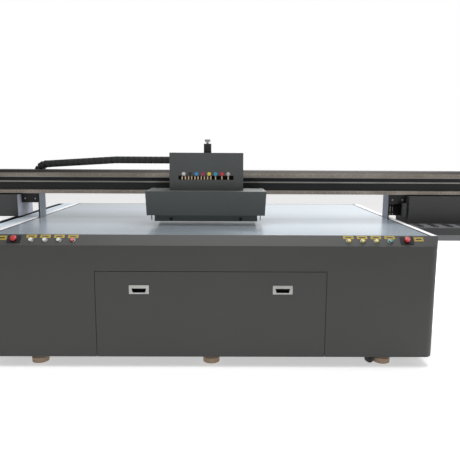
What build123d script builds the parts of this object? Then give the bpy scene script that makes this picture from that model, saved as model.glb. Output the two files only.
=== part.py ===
"""Flatbed UV printer: cabinet with a vacuum table, travelling gantry, print carriage and lifting head.

X runs along the beam, Y from the operator's side to the back, Z up. The origin is on the floor under
the middle of the cabinet. Every length is in millimetres.
"""

import os
from math import cos, radians, sin, sqrt

from build123d import *

os.makedirs("parts", exist_ok=True)

# Cabinet
CABINET_WIDTH = 2900.0
CABINET_DEPTH = 2080.0
BED_HEIGHT = 866.0
SKIRT_GAP = 74.0  # floor to the lower edge of the covers
CORNER_RADIUS = 58.0
BAND = 60.0  # rise and run of the slanted control band
SHEET = 3.0
COVER_RETURN = 140.0  # how far the front and rear covers wrap round the sides
STRIP_THICKNESS = 6.0
LEG_SLOT = 16.0
STRIP_WIDTH = 38.0
TABLE_SKIN = 10.0
TABLE_DEEP = 35.0
BACK_LEDGE = 20.0

# Frame of square tube
TUBE = 80.0
TUBE_WALL = 5.0
FRAME_LOW = 150.0  # underside of the lower ring
SIDE_TUBE_INSET = 110.0  # cabinet side to the middle of the side tubes
END_TUBE_INSET = 120.0  # cabinet front or back to the middle of the end tubes
RAIL_SEAT_DROP = 146.0  # bed to the top of the side tubes, where the long rails lie

# Door
DOOR_WIDTH = 1480.0
DOOR_TOP = 642.0
DOOR_GAP = 4.0
DOOR_FLANGE = 22.0
PULL_SPREAD = 916.0
PULL_DROP = 120.0  # top of the door to the middle of the pulls
PULL_WIDTH = 127.0
PULL_TALL = 57.0

# Feet and casters
FOOT_INSET = 302.0  # cabinet side to the middle of the outer feet
PAD_RADIUS = 55.0
PAD_THICKNESS = 44.0
PAD_TAPER = 12.0
STEM_RADIUS = 12.0
WHEEL_RADIUS = 33.0
WHEEL_WIDTH = 30.0
WHEEL_LIFT = 3.0  # the pads carry the machine, so the wheels clear the floor
TRAIL = 95.0
AXLE_RADIUS = 5.0

# Gantry
BEAM_LENGTH = 4500.0
BEAM_FRONT = -128.0
BEAM_DEPTH = 165.0
BEAM_HEIGHT = 186.0
BEAM_LIFT = 194.0  # bed to the underside of the beam
LEG_THICKNESS = 10.0
LEG_FRONT = -115.0
LEG_BACK = 25.0
END_BOX_GAP = 90.0  # cabinet side to the end box
END_BOX_FRONT = -195.0
END_BOX_BACK = 105.0
TRAY_FRONT = -385.0
BOX_SHEET = 3.0

# Carriage and head
CARRIAGE_X = -50.0
UPPER_WIDTH = 537.0
UPPER_FRONT = -457.0
UPPER_RISE = 139.0  # beam top to the top of the upper cover
LOWER_WIDTH = 863.0
LOWER_TAPER = 9.0  # how much each side leans in towards the bottom
LOWER_FRONT = -574.0
LOWER_HEIGHT = 172.0
LOWER_CLEAR = 75.0  # bed to the lower edge of the lower cover
HEAD_CLEAR = 30.0  # bed to the underside of the head plate
HEAD_INSET = 61.5  # lower cover's side to the side of the head plate
COVER_SHEET = 2.5
X_BLOCK_TALL = 31.0  # face of the beam, less a gap, to the slider plate
SLIDER_PLATE = 15.0
LIFT_BLOCK_TALL = 20.0
LIFT_PLATE = 12.0
HEAD_COLUMNS = 4
HEAD_ROWS = 2
HEAD_PITCH_X = 112.0
HEAD_PITCH_Y = 84.0
JET_WIDTH = 28.0
JET_LENGTH = 72.0
JET_BLOCK_MARGIN = 5.0

# Controls
BUTTON_INSET = 311.0  # cabinet side to the outermost push button
BUTTON_PITCH = 88.0
BUTTON_RADIUS = 12.0
BUTTON_DOWN = 46.0  # top edge of the band to the button, along the slope
ESTOP_INSET = 205.0
ESTOP_DOWN = 40.0
ESTOP_RADIUS = 20.0

# Fits
RUNNING = 0.05  # radial clearance of a shaft in its hole
CLEAR = 0.3
SEAM = 0.5  # gap between sheets and plates that lie side by side
CUT = 1.0  # how far a cutting tool reaches past a face

# Values that follow from the ones above
half_width = CABINET_WIDTH / 2
half_depth = CABINET_DEPTH / 2
front_face = -half_depth
strip_inner = half_width - STRIP_WIDTH
table_half = strip_inner - LEG_SLOT
table_front = front_face + BAND + SHEET * sqrt(2) + SEAM
table_back = half_depth - BACK_LEDGE
table_low = BED_HEIGHT - TABLE_DEEP
rail_seat = BED_HEIGHT - RAIL_SEAT_DROP
pull_height = DOOR_TOP - PULL_DROP
upper_top = BED_HEIGHT + BEAM_LIFT + BEAM_HEIGHT + UPPER_RISE
side_tube_x = half_width - SIDE_TUBE_INSET
end_tube_y = half_depth - END_TUBE_INSET
frame_top = FRAME_LOW + TUBE
side_tube_inner = side_tube_x - TUBE / 2
side_tube_outer = side_tube_x + TUBE / 2
leg_inner = table_half + (LEG_SLOT - LEG_THICKNESS) / 2
leg_outer = leg_inner + LEG_THICKNESS
beam_low = BED_HEIGHT + BEAM_LIFT
beam_top = beam_low + BEAM_HEIGHT
beam_half = BEAM_LENGTH / 2
beam_back = BEAM_FRONT + BEAM_DEPTH
box_inner = half_width + END_BOX_GAP
slider_back = BEAM_FRONT - 5 - X_BLOCK_TALL
slider_front = slider_back - SLIDER_PLATE
lift_block_back = slider_front - 5
lift_plate_back = lift_block_back - LIFT_BLOCK_TALL
lift_plate_front = lift_plate_back - LIFT_PLATE
jet_y = lift_plate_front - 2 - JET_BLOCK_MARGIN - (JET_LENGTH + HEAD_PITCH_Y) / 2


def block(x0, x1, y0, y1, z0, z1, mode=Mode.ADD):
    """Adds, or cuts, a box given by its limits in the part that is being built."""
    with Locations(((x0 + x1) / 2, (y0 + y1) / 2, (z0 + z1) / 2)):
        Box(abs(x1 - x0), abs(y1 - y0), abs(z1 - z0), mode=mode)


def rod(start, direction, radius, length, mode=Mode.ADD):
    """Adds, or cuts, a round bar from a start point in the part that is being built."""
    with BuildSketch(Plane(origin=start, z_dir=direction)) as disc:
        Circle(radius)
    extrude(disc.sketch, amount=length, mode=mode)


# ---------------------------------------------------------------- frame of the cabinet


def square_tube(start, direction, length):
    """One open-ended square tube."""
    with BuildPart() as tube:
        with BuildSketch(Plane(origin=start, z_dir=direction)):
            Rectangle(TUBE, TUBE)
            Rectangle(TUBE - 2 * TUBE_WALL, TUBE - 2 * TUBE_WALL, mode=Mode.SUBTRACT)
        extrude(amount=length)
    return tube.part


POST_X = DOOR_WIDTH / 2 + TUBE / 2
ROW_INSET = 610.0  # end cross tubes to the ones beside them
RISER_INSET = 200.0  # inner face of the side tubes to the outermost risers' middle
RISER_COUNT = 6
SHELF_THICKNESS = 4.0
SHELF_BACK = 200.0
SHELF_GAP = 2.0
RAIL_TUBE_REACH = 60.0  # how much longer the tubes under the long rails are than the lower ring

lower_middle = FRAME_LOW + TUBE / 2
upper_middle = rail_seat - TUBE / 2
post_height = rail_seat - TUBE - frame_top
rows = [-end_tube_y, -end_tube_y + ROW_INSET, end_tube_y - ROW_INSET, end_tube_y]
tubes = []
for side in (-1, 1):
    side_x = side * side_tube_x
    ring_length = 2 * end_tube_y + TUBE
    tubes.append(square_tube((side_x, -ring_length / 2, lower_middle), (0, 1, 0), ring_length))
    tubes.append(square_tube((side_x, -ring_length / 2, upper_middle), (0, 1, 0), ring_length + RAIL_TUBE_REACH))
    for post_y in (-end_tube_y, 0, end_tube_y):
        tubes.append(square_tube((side_x, post_y, frame_top), (0, 0, 1), post_height))
    for post_y in (-end_tube_y, end_tube_y):
        tubes.append(square_tube((side * POST_X, post_y, frame_top), (0, 0, 1), post_height))
for row_y in rows:
    tubes.append(square_tube((-side_tube_inner, row_y, upper_middle), (1, 0, 0), 2 * side_tube_inner))
    for index in range(RISER_COUNT):
        riser_x = (side_tube_inner - RISER_INSET) * (2 * index / (RISER_COUNT - 1) - 1)
        tubes.append(square_tube((riser_x, row_y, rail_seat), (0, 0, 1), table_low - rail_seat))
for row_y in (-end_tube_y, SHELF_BACK - TUBE / 2, end_tube_y):
    tubes.append(square_tube((-side_tube_inner, row_y, lower_middle), (1, 0, 0), 2 * side_tube_inner))
with BuildPart() as shelf:
    block(-side_tube_inner + SHELF_GAP, side_tube_inner - SHELF_GAP, -end_tube_y + TUBE / 2 + SHELF_GAP, SHELF_BACK,
          frame_top, frame_top + SHELF_THICKNESS)
# The fixed halves of the door's hinges hang from the front tube, beside the door's knuckles.
HINGE_INSET = 140.0  # door edge to the outer hinges
PIN_RADIUS = 3.0
KNUCKLE_RADIUS = 6.5
KNUCKLE_LENGTH = 28.0
SIDE_KNUCKLE = 14.0
HINGE_BEHIND = 11.0  # inner face of the door to the pins
HINGE_RISE = 14.0  # lower edge of the door to the pins
HINGE_ARM = 8.0
HINGE_STRAP_TOP = 40.0  # underside of the frame to the top of the straps
tube_face = -end_tube_y - TUBE / 2
hinge_x = (HINGE_INSET - DOOR_WIDTH / 2, 0.0, DOOR_WIDTH / 2 - HINGE_INSET)
hinge_y = front_face + SHEET + HINGE_BEHIND
hinge_z = SKIRT_GAP + HINGE_RISE
with BuildPart() as door_hinges:
    for x in hinge_x:
        rod((x - KNUCKLE_LENGTH / 2 - SIDE_KNUCKLE, hinge_y, hinge_z), (1, 0, 0), PIN_RADIUS,
            KNUCKLE_LENGTH + 2 * SIDE_KNUCKLE)
        for side in (-1, 1):
            near = x + side * (KNUCKLE_LENGTH / 2 + SEAM)
            far = x + side * (KNUCKLE_LENGTH / 2 + SIDE_KNUCKLE)
            rod((min(near, far), hinge_y, hinge_z), (1, 0, 0), KNUCKLE_RADIUS, abs(far - near))
            block(near, far, hinge_y, tube_face, hinge_z - HINGE_ARM / 2, hinge_z + HINGE_ARM / 2)
            block(near, far, tube_face - HINGE_ARM, tube_face, hinge_z - HINGE_ARM / 2,
                  FRAME_LOW + HINGE_STRAP_TOP)
base_frame = Compound(label="base_frame", children=[*tubes, shelf.part, door_hinges.part])
export_step(base_frame, "parts/base_frame.step")


# ---------------------------------------------------------------- covers


def cabinet_outline(inset, stretch):
    """The solid outline of the cabinet, drawn in from its faces and stretched at top and bottom."""
    reach = 2 * BAND
    with BuildPart() as outline:
        with BuildSketch(Plane.XY.offset(SKIRT_GAP - stretch)):
            RectangleRounded(CABINET_WIDTH - 2 * inset, CABINET_DEPTH - 2 * inset, CORNER_RADIUS - inset)
        extrude(amount=BED_HEIGHT - SKIRT_GAP + 2 * stretch)
        slope_y = front_face + inset * sqrt(2)
        slope_z = BED_HEIGHT - BAND
        with BuildSketch(Plane.YZ.offset(-half_width)):
            with BuildLine():
                Polyline(
                    (slope_y - reach, slope_z - reach),
                    (slope_y + reach, slope_z + reach),
                    (slope_y - reach, slope_z + reach),
                    close=True,
                )
            make_face()
        extrude(amount=CABINET_WIDTH, mode=Mode.SUBTRACT)
    return outline.part


with BuildPart() as cabinet_shell:
    add(cabinet_outline(0, 0))
    add(cabinet_outline(SHEET, 1), mode=Mode.SUBTRACT)
    for side in (-1, 1):
        block(side * (strip_inner - 1), side * (half_width + 1), table_front - SEAM, half_depth - BACK_LEDGE,
              BED_HEIGHT - STRIP_THICKNESS, BED_HEIGHT + 1, mode=Mode.SUBTRACT)

FLANGE_HEIGHT = 180.0
COLLAR_RADIUS = 15.0
BARREL_RADIUS = 11.0
ESTOP_BARREL = 14.0
ESTOP_PLATE_WIDTH = 84.0
ESTOP_PLATE_TALL = 56.0
FLANGE_GAP = 20.0  # door opening to the flange


def band_plane(x, down):
    """Plane on the slanted band, at a distance down from its top edge, facing outwards."""
    step = down / sqrt(2)
    origin = (x, front_face + BAND - step, BED_HEIGHT - step)
    return Plane(origin=origin, x_dir=(1, 0, 0), z_dir=(0, -sin(radians(45)), cos(radians(45))))


button_names = ["vacuum_on", "vacuum_off", "lamp_on", "power_off", "forward", "back", "origin", "start"]
outer_button = half_width - BUTTON_INSET
button_x = [-outer_button + BUTTON_PITCH * index for index in range(4)]
button_x += [outer_button - BUTTON_PITCH * (3 - index) for index in range(4)]
estop_x = {"left": ESTOP_INSET - half_width, "right": half_width - ESTOP_INSET}

seam = half_depth - COVER_RETURN
with BuildPart() as front_cover:
    add(cabinet_shell.part)
    block(-half_width - 1, half_width + 1, front_face - 1, -seam, 0, BED_HEIGHT + 1, mode=Mode.INTERSECT)
    block(-DOOR_WIDTH / 2, DOOR_WIDTH / 2, front_face - 1, front_face + SHEET + 1, SKIRT_GAP - 1, DOOR_TOP,
          mode=Mode.SUBTRACT)
    for x in button_x:
        with BuildSketch(band_plane(x, BUTTON_DOWN)):
            Circle(BARREL_RADIUS + CLEAR)
        extrude(amount=20, both=True, mode=Mode.SUBTRACT)
    for x in estop_x.values():
        with BuildSketch(band_plane(x, ESTOP_DOWN)):
            Circle(ESTOP_BARREL + CLEAR)
        extrude(amount=20, both=True, mode=Mode.SUBTRACT)
    for side in (-1, 1):
        block(side * (DOOR_WIDTH / 2 + FLANGE_GAP), side * (half_width - CORNER_RADIUS), front_face + SHEET,
              -end_tube_y - TUBE / 2, FLANGE_HEIGHT, FLANGE_HEIGHT + SHEET)
front_cover.part.label = "front_cover"
export_step(front_cover.part, "parts/front_cover.step")

for name, side in (("left", -1), ("right", 1)):
    with BuildPart() as side_cover:
        add(cabinet_shell.part)
        block(side * (half_width - CORNER_RADIUS), side * (half_width + 1), -seam, seam, 0, BED_HEIGHT + 1,
              mode=Mode.INTERSECT)
        block(side * (strip_inner + 1), side * (half_width - SHEET), -seam, seam,
              BED_HEIGHT - STRIP_THICKNESS - SHEET, BED_HEIGHT - STRIP_THICKNESS)
        block(side * side_tube_outer, side * (half_width - SHEET), -seam, seam, FLANGE_HEIGHT,
              FLANGE_HEIGHT + SHEET)
    side_cover.part.label = f"side_cover_{name}"
    export_step(side_cover.part, f"parts/side_cover_{name}.step")

LOUVRE_LENGTH = 180.0
LOUVRE_TALL = 8.0
LOUVRE_PITCH = 24.0
LOUVRE_GAP = 30.0
LOUVRE_COLUMNS = 3
LOUVRE_ROWS = 8
VENT_SPREAD = 1600.0
VENT_Z = 420.0
with BuildPart() as rear_cover:
    add(cabinet_shell.part)
    block(-half_width - 1, half_width + 1, seam, half_depth + 1, 0, BED_HEIGHT + 1, mode=Mode.INTERSECT)
    block(-half_width + CORNER_RADIUS, half_width - CORNER_RADIUS, table_back + SEAM, half_depth - SHEET,
          BED_HEIGHT - SHEET, BED_HEIGHT)
    block(-half_width + CORNER_RADIUS, half_width - CORNER_RADIUS, end_tube_y + TUBE / 2,
          half_depth - SHEET, FLANGE_HEIGHT, FLANGE_HEIGHT + SHEET)
    with BuildSketch(Plane.XZ.offset(-half_depth - 1)):
        for vent_x in (-VENT_SPREAD / 2, VENT_SPREAD / 2):
            with Locations((vent_x, VENT_Z)):
                with GridLocations(LOUVRE_LENGTH + LOUVRE_GAP, LOUVRE_PITCH, LOUVRE_COLUMNS, LOUVRE_ROWS):
                    SlotOverall(LOUVRE_LENGTH, LOUVRE_TALL)
    extrude(amount=SHEET + 2, mode=Mode.SUBTRACT)
rear_cover.part.label = "rear_cover"
export_step(rear_cover.part, "parts/rear_cover.step")

# ---------------------------------------------------------------- table

POCKET_COLUMNS = 6
POCKET_ROWS = 3
RIB = 12.0
table_width = 2 * table_half
table_depth = table_back - table_front
table_middle = (table_front + table_back) / 2
with BuildPart() as table_plate:
    block(-table_half, table_half, table_front, table_back, table_low, BED_HEIGHT)
    pocket_x = (table_width - RIB) / POCKET_COLUMNS
    pocket_y = (table_depth - RIB) / POCKET_ROWS
    with BuildSketch(Plane.XY.offset(table_low)):
        with Locations((0, table_middle)):
            with GridLocations(pocket_x, pocket_y, POCKET_COLUMNS, POCKET_ROWS):
                Rectangle(pocket_x - RIB, pocket_y - RIB)
    extrude(amount=TABLE_DEEP - TABLE_SKIN, mode=Mode.SUBTRACT)
with BuildPart() as edge_strips:
    for side in (-1, 1):
        block(side * strip_inner, side * half_width, table_front, table_back, BED_HEIGHT - STRIP_THICKNESS,
              BED_HEIGHT)
vacuum_table = Compound(label="vacuum_table", children=[table_plate.part, edge_strips.part])
export_step(vacuum_table, "parts/vacuum_table.step")

# ---------------------------------------------------------------- rails and screws of the long axis

RAIL_WIDTH = 23.0
RAIL_TALL = 26.0
RAIL_START_INSET = 340.0  # front face to the start of the long rails
SCREW_RADIUS = 12.5
SCREW_INSET = 90.0  # rail to screw
SCREW_RISE = 25.0
SUPPORT_THICKNESS = 26.0
MOTOR_SIZE = 56.0
MOTOR_LENGTH = 118.0
BLOCK_RISE = 42.0  # rail seat to the top of the bearing blocks
BLOCK_TALL = 36.0
FOOT_THICKNESS = 12.0
RAIL_END_INSET = 30.0  # back of the cabinet to the end of the long rails
SUPPORT_REACH = 30.0  # screw to the inner side of its supports
SUPPORT_DROP = 40.0  # rail seat to the underside of the supports
SUPPORT_RISE = 27.0  # screw to the top of the supports
MOTOR_DROP = 20.0  # screw to the underside of the motors
SCREW_END_GAP = 2.0

rail_start = front_face + RAIL_START_INSET
rail_end = half_depth - RAIL_END_INSET
screw_x = side_tube_x - SCREW_INSET
screw_z = rail_seat + SCREW_RISE
block_top = rail_seat + BLOCK_RISE


def rail_outline(width, tall):
    """Waisted section of a linear rail, standing on the sketch's origin."""
    waist = 2.5
    with BuildSketch() as outline:
        with BuildLine():
            Polyline(
                (-width / 2, 0),
                (width / 2, 0),
                (width / 2, 0.4 * tall),
                (width / 2 - waist, 0.5 * tall),
                (width / 2 - waist, 0.7 * tall),
                (width / 2, 0.8 * tall),
                (width / 2, tall),
                (-width / 2, tall),
                (-width / 2, 0.8 * tall),
                (-width / 2 + waist, 0.7 * tall),
                (-width / 2 + waist, 0.5 * tall),
                (-width / 2, 0.4 * tall),
                close=True,
            )
        make_face()
    return outline.sketch_local


with BuildPart() as y_rails:
    for side in (-1, 1):
        start = (side * side_tube_x, rail_start, rail_seat)
        with BuildSketch(Plane(origin=start, x_dir=(-1, 0, 0), z_dir=(0, 1, 0))):
            add(rail_outline(RAIL_WIDTH, RAIL_TALL))
        extrude(amount=rail_end - rail_start)
y_rails.part.label = "y_rails"
export_step(y_rails.part, "parts/y_rails.step")

support_top = screw_z + SUPPORT_RISE
with BuildPart() as y_drives:
    for side in (-1, 1):
        for start_y in (rail_start - SUPPORT_THICKNESS, rail_end - SUPPORT_THICKNESS):
            block(side * (screw_x - SUPPORT_REACH), side * side_tube_inner, start_y,
                  start_y + SUPPORT_THICKNESS, rail_seat - SUPPORT_DROP, support_top)
            rod((side * screw_x, start_y - 1, screw_z), (0, 1, 0), SCREW_RADIUS + RUNNING,
                SUPPORT_THICKNESS + 2, mode=Mode.SUBTRACT)
        motor_back = rail_start - SUPPORT_THICKNESS
        block(side * (screw_x - MOTOR_SIZE / 2), side * (screw_x + MOTOR_SIZE / 2),
              motor_back - MOTOR_LENGTH, motor_back, screw_z - MOTOR_DROP, screw_z - MOTOR_DROP + MOTOR_SIZE)
        rod((side * screw_x, motor_back - 1, screw_z), (0, 1, 0), SCREW_RADIUS + RUNNING, 2,
            mode=Mode.SUBTRACT)
y_drives.part.label = "y_drives"
export_step(y_drives.part, "parts/y_drives.step")

for name, side in (("left", -1), ("right", 1)):
    with BuildPart() as y_screw:
        rod((side * screw_x, rail_start - SUPPORT_THICKNESS + SCREW_END_GAP, screw_z), (0, 1, 0), SCREW_RADIUS,
            rail_end - rail_start + SUPPORT_THICKNESS - 2 * SCREW_END_GAP)
    y_screw.part.label = f"y_screw_{name}"
    export_step(y_screw.part, f"parts/y_screw_{name}.step")

# ---------------------------------------------------------------- inside the cabinet

CONTROL_BOX_WIDTH = 740.0
CONTROL_BOX_INSET = (190.0, 520.0)  # front face to the front and back of the control box
CONTROL_BOX_TALL = 360.0
BOX_DOOR_WIDTH = 340.0
BOX_DOOR_THICKNESS = 4.0
BOX_DOOR_MARGIN = 15.0
BOX_VENT = (220.0, 8.0, 22.0)  # length, height and pitch of the slots in the side
BOX_VENT_COUNT = 8
BOX_VENT_DEEP = 3.0
BLOWER_RADIUS = 150.0
BLOWER_LENGTH = 190.0
BLOWER_GAP = 15.0  # left blower to the control box
PIPE_RADIUS = 38.0
PIPE_OFFSET = 0.6 * BLOWER_RADIUS  # the pipe leaves the blower beside its middle
BLOWER_LIFT = 30.0
BLOWER_STAND = (220.0, 140.0, 60.0)
BLOWER_MOTOR_RADIUS = 90.0
BLOWER_MOTOR_LENGTH = 160.0
floor_z = frame_top + SHELF_THICKNESS
# Each blower's pipe rises into the middle of one of the table's pockets.
pipe_x = 1.5 * pocket_x
blower_y = table_front + RIB / 2 + pocket_y / 2
box_x0 = -pipe_x - PIPE_OFFSET + BLOWER_RADIUS + BLOWER_GAP
box_x1 = box_x0 + CONTROL_BOX_WIDTH
box_y0 = front_face + CONTROL_BOX_INSET[0]
box_y1 = front_face + CONTROL_BOX_INSET[1]
with BuildPart() as electrics_cabinet:
    block(box_x0, box_x1, box_y0, box_y1, floor_z, floor_z + CONTROL_BOX_TALL)
    for door_x in (box_x0 + BOX_DOOR_MARGIN, box_x1 - BOX_DOOR_MARGIN - BOX_DOOR_WIDTH):
        block(door_x, door_x + BOX_DOOR_WIDTH, box_y0 - BOX_DOOR_THICKNESS, box_y0, floor_z + BOX_DOOR_MARGIN,
              floor_z + CONTROL_BOX_TALL - BOX_DOOR_MARGIN)
    with BuildSketch(Plane.YZ.offset(box_x1)):
        with Locations(((box_y0 + box_y1) / 2, floor_z + CONTROL_BOX_TALL / 2)):
            with GridLocations(0, BOX_VENT[2], 1, BOX_VENT_COUNT):
                SlotOverall(BOX_VENT[0], BOX_VENT[1])
    extrude(amount=-BOX_VENT_DEEP, mode=Mode.SUBTRACT)
electrics_cabinet.part.label = "electrics_cabinet"
export_step(electrics_cabinet.part, "parts/electrics_cabinet.step")

with BuildPart() as vacuum_blowers:
    for x in (-pipe_x - PIPE_OFFSET, pipe_x - PIPE_OFFSET):
        centre_z = floor_z + BLOWER_RADIUS + BLOWER_LIFT
        rod((x, blower_y - BLOWER_LENGTH / 2, centre_z), (0, 1, 0), BLOWER_RADIUS, BLOWER_LENGTH)
        rod((x, blower_y + BLOWER_LENGTH / 2, centre_z), (0, 1, 0), BLOWER_MOTOR_RADIUS, BLOWER_MOTOR_LENGTH)
        block(x - BLOWER_STAND[0] / 2, x + BLOWER_STAND[0] / 2, blower_y - BLOWER_STAND[1] / 2,
              blower_y + BLOWER_STAND[1] / 2, floor_z, floor_z + BLOWER_STAND[2])
        rod((x + PIPE_OFFSET, blower_y, centre_z), (0, 0, 1), PIPE_RADIUS,
            BED_HEIGHT - TABLE_SKIN - centre_z)
vacuum_blowers.part.label = "vacuum_blowers"
export_step(vacuum_blowers.part, "parts/vacuum_blowers.step")

# ---------------------------------------------------------------- door

door_half = DOOR_WIDTH / 2 - DOOR_GAP
CUP_WIDTH = 112.0
CUP_TALL = 46.0
FLANGE_LIFT = 40.0  # lower edge of the door to its side flanges
STRAP_THICKNESS = 3.0
STRAP_TALL = 46.0
with BuildPart() as door_panel:
    block(-door_half, door_half, front_face, front_face + SHEET, SKIRT_GAP, DOOR_TOP - DOOR_GAP)
    for side in (-1, 1):
        block(side * (door_half - SHEET), side * door_half, front_face, front_face + DOOR_FLANGE,
              SKIRT_GAP + FLANGE_LIFT, DOOR_TOP - DOOR_GAP)
        block(side * PULL_SPREAD / 2 - CUP_WIDTH / 2 - CLEAR, side * PULL_SPREAD / 2 + CUP_WIDTH / 2 + CLEAR,
              front_face - 1, front_face + SHEET + 1, pull_height - CUP_TALL / 2 - CLEAR,
              pull_height + CUP_TALL / 2 + CLEAR, mode=Mode.SUBTRACT)
    block(-door_half, door_half, front_face, front_face + DOOR_FLANGE, DOOR_TOP - DOOR_GAP - SHEET,
          DOOR_TOP - DOOR_GAP)
    for x in hinge_x:
        block(x - KNUCKLE_LENGTH / 2, x + KNUCKLE_LENGTH / 2, front_face + SHEET,
              front_face + SHEET + STRAP_THICKNESS, hinge_z - HINGE_ARM / 2, hinge_z + STRAP_TALL)
        block(x - KNUCKLE_LENGTH / 2, x + KNUCKLE_LENGTH / 2, front_face + SHEET, hinge_y,
              hinge_z - HINGE_ARM / 2, hinge_z + HINGE_ARM / 2)
        rod((x - KNUCKLE_LENGTH / 2, hinge_y, hinge_z), (1, 0, 0), KNUCKLE_RADIUS, KNUCKLE_LENGTH)
        rod((x - KNUCKLE_LENGTH, hinge_y, hinge_z), (1, 0, 0), PIN_RADIUS + RUNNING, 2 * KNUCKLE_LENGTH,
            mode=Mode.SUBTRACT)
door_panel.part.label = "door_panel"
export_step(door_panel.part, "parts/door_panel.step")

BEZEL = 2.5
CUP_DEEP = 20.0
CUP_WALL = 3.0
CUP_FLOOR = 2.0
MOUTH_LOW = (80.0, -19.0)  # width and height from the middle of the mouth's lower edge
MOUTH_HIGH = (94.0, 8.0)
with BuildPart() as door_pulls:
    for side in (-1, 1):
        x = side * PULL_SPREAD / 2
        block(x - PULL_WIDTH / 2, x + PULL_WIDTH / 2, front_face - BEZEL, front_face,
              pull_height - PULL_TALL / 2, pull_height + PULL_TALL / 2)
        block(x - CUP_WIDTH / 2, x + CUP_WIDTH / 2, front_face, front_face + CUP_DEEP,
              pull_height - CUP_TALL / 2, pull_height + CUP_TALL / 2)
        block(x - CUP_WIDTH / 2 + CUP_WALL, x + CUP_WIDTH / 2 - CUP_WALL, front_face,
              front_face + CUP_DEEP - CUP_FLOOR, pull_height - CUP_TALL / 2 + CUP_WALL,
              pull_height + CUP_TALL / 2 - CUP_WALL, mode=Mode.SUBTRACT)
        with BuildSketch(Plane.XZ.offset(half_depth + BEZEL)):
            with BuildLine():
                Polyline(
                    (x - MOUTH_LOW[0] / 2, pull_height + MOUTH_LOW[1]),
                    (x + MOUTH_LOW[0] / 2, pull_height + MOUTH_LOW[1]),
                    (x + MOUTH_HIGH[0] / 2, pull_height + MOUTH_HIGH[1]),
                    (x - MOUTH_HIGH[0] / 2, pull_height + MOUTH_HIGH[1]),
                    close=True,
                )
            make_face()
        extrude(amount=-BEZEL - SHEET, mode=Mode.SUBTRACT)
door_pulls.part.label = "door_pulls"
export_step(door_pulls.part, "parts/door_pulls.step")

# ---------------------------------------------------------------- feet and casters

STEM_PLATE_RADIUS = 38.0
STEM_PLATE = 8.0
CASTER_PLATE = 8.0
NUT_TALL = 10.0
RING_TALL = 22.0
NUT_RADIUS = 20.0
COLLAR_BELOW = (18.0, 8.0)  # radius and height of the collar that carries the caster
PLATE_OVERHANG = 12.0
foot_x = half_width - FOOT_INSET
foot_places = [(x, y) for x in (-foot_x, 0.0, foot_x) for y in (-end_tube_y, end_tube_y)]
plate_low = FRAME_LOW - CASTER_PLATE
nut_low = plate_low - NUT_TALL
ring_low = nut_low - CLEAR - RING_TALL
with BuildPart() as foot_pads:
    with BuildSketch():
        with Locations(*foot_places):
            Circle(PAD_RADIUS)
    extrude(amount=PAD_THICKNESS)
    chamfer(foot_pads.edges().group_by(Axis.Z)[-1], PAD_TAPER)
with BuildPart() as foot_stems:
    with BuildSketch(Plane.XY.offset(PAD_THICKNESS)):
        with Locations(*foot_places):
            Circle(STEM_PLATE_RADIUS)
    extrude(amount=STEM_PLATE)
    with BuildSketch(Plane.XY.offset(PAD_THICKNESS)):
        with Locations(*foot_places):
            Circle(STEM_RADIUS)
    extrude(amount=FRAME_LOW - PAD_THICKNESS)
    with BuildSketch(Plane.XY.offset(nut_low)):
        with Locations(*foot_places):
            RegularPolygon(NUT_RADIUS, 6)
    extrude(amount=NUT_TALL)
    with BuildSketch(Plane.XY.offset(ring_low - CLEAR - COLLAR_BELOW[1])):
        with Locations(*foot_places):
            Circle(COLLAR_BELOW[0])
    extrude(amount=COLLAR_BELOW[1])

FORK_PLATE = 5.0
FORK_GAP = 1.5
FORK_HALF = 12.0
FORK_TOP = 8.0
RING_RADIUS = 30.0
AXLE_NUT = (8.0, 4.0)  # radius and thickness
TREAD_FILLET = 5.0
wheel_z = WHEEL_LIFT + WHEEL_RADIUS
fork_half = WHEEL_WIDTH / 2 + FORK_GAP + FORK_PLATE


def caster_plane(x, y, heading):
    """Floor plane of a caster, with its X along the trail."""
    turn = radians(heading)
    return Plane(origin=(x, y, 0), x_dir=(cos(turn), sin(turn), 0), z_dir=(0, 0, 1))


def caster_arm(plane):
    """Ring round the foot's stem, with a fork that holds the wheel's axle."""
    with BuildPart(plane) as arm:
        with Locations((0, 0, ring_low + RING_TALL / 2)):
            Cylinder(RING_RADIUS, RING_TALL)
        with Locations(((TRAIL + FORK_HALF) / 2, 0, ring_low + FORK_TOP / 2)):
            Box(TRAIL + FORK_HALF, 2 * fork_half, FORK_TOP)
        for side in (-1, 1):
            with Locations((TRAIL, side * (fork_half - FORK_PLATE / 2), (wheel_z + ring_low + FORK_TOP) / 2)):
                Box(2 * FORK_HALF, FORK_PLATE, ring_low + FORK_TOP - wheel_z)
            with Locations((TRAIL, side * (fork_half - FORK_PLATE / 2), wheel_z)):
                Cylinder(FORK_HALF, FORK_PLATE, rotation=(90, 0, 0))
            with Locations((TRAIL, side * (fork_half + AXLE_NUT[1] / 2), wheel_z)):
                Cylinder(*AXLE_NUT, rotation=(90, 0, 0))
        with Locations((TRAIL, 0, wheel_z)):
            Cylinder(AXLE_RADIUS, 2 * fork_half, rotation=(90, 0, 0))
        with Locations((0, 0, ring_low + RING_TALL / 2)):
            Cylinder(STEM_RADIUS + RUNNING, RING_TALL + 2, mode=Mode.SUBTRACT)
    return arm.part


def caster_wheel(plane):
    """Wheel with a bore for the axle and softened tread edges."""
    with BuildPart(plane) as wheel:
        with Locations((TRAIL, 0, wheel_z)):
            Cylinder(WHEEL_RADIUS, WHEEL_WIDTH, rotation=(90, 0, 0))
        fillet(wheel.edges().filter_by(GeomType.CIRCLE), TREAD_FILLET)
        with Locations((TRAIL, 0, wheel_z)):
            Cylinder(AXLE_RADIUS + RUNNING, WHEEL_WIDTH + 2, rotation=(90, 0, 0), mode=Mode.SUBTRACT)
    return wheel.part


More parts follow.
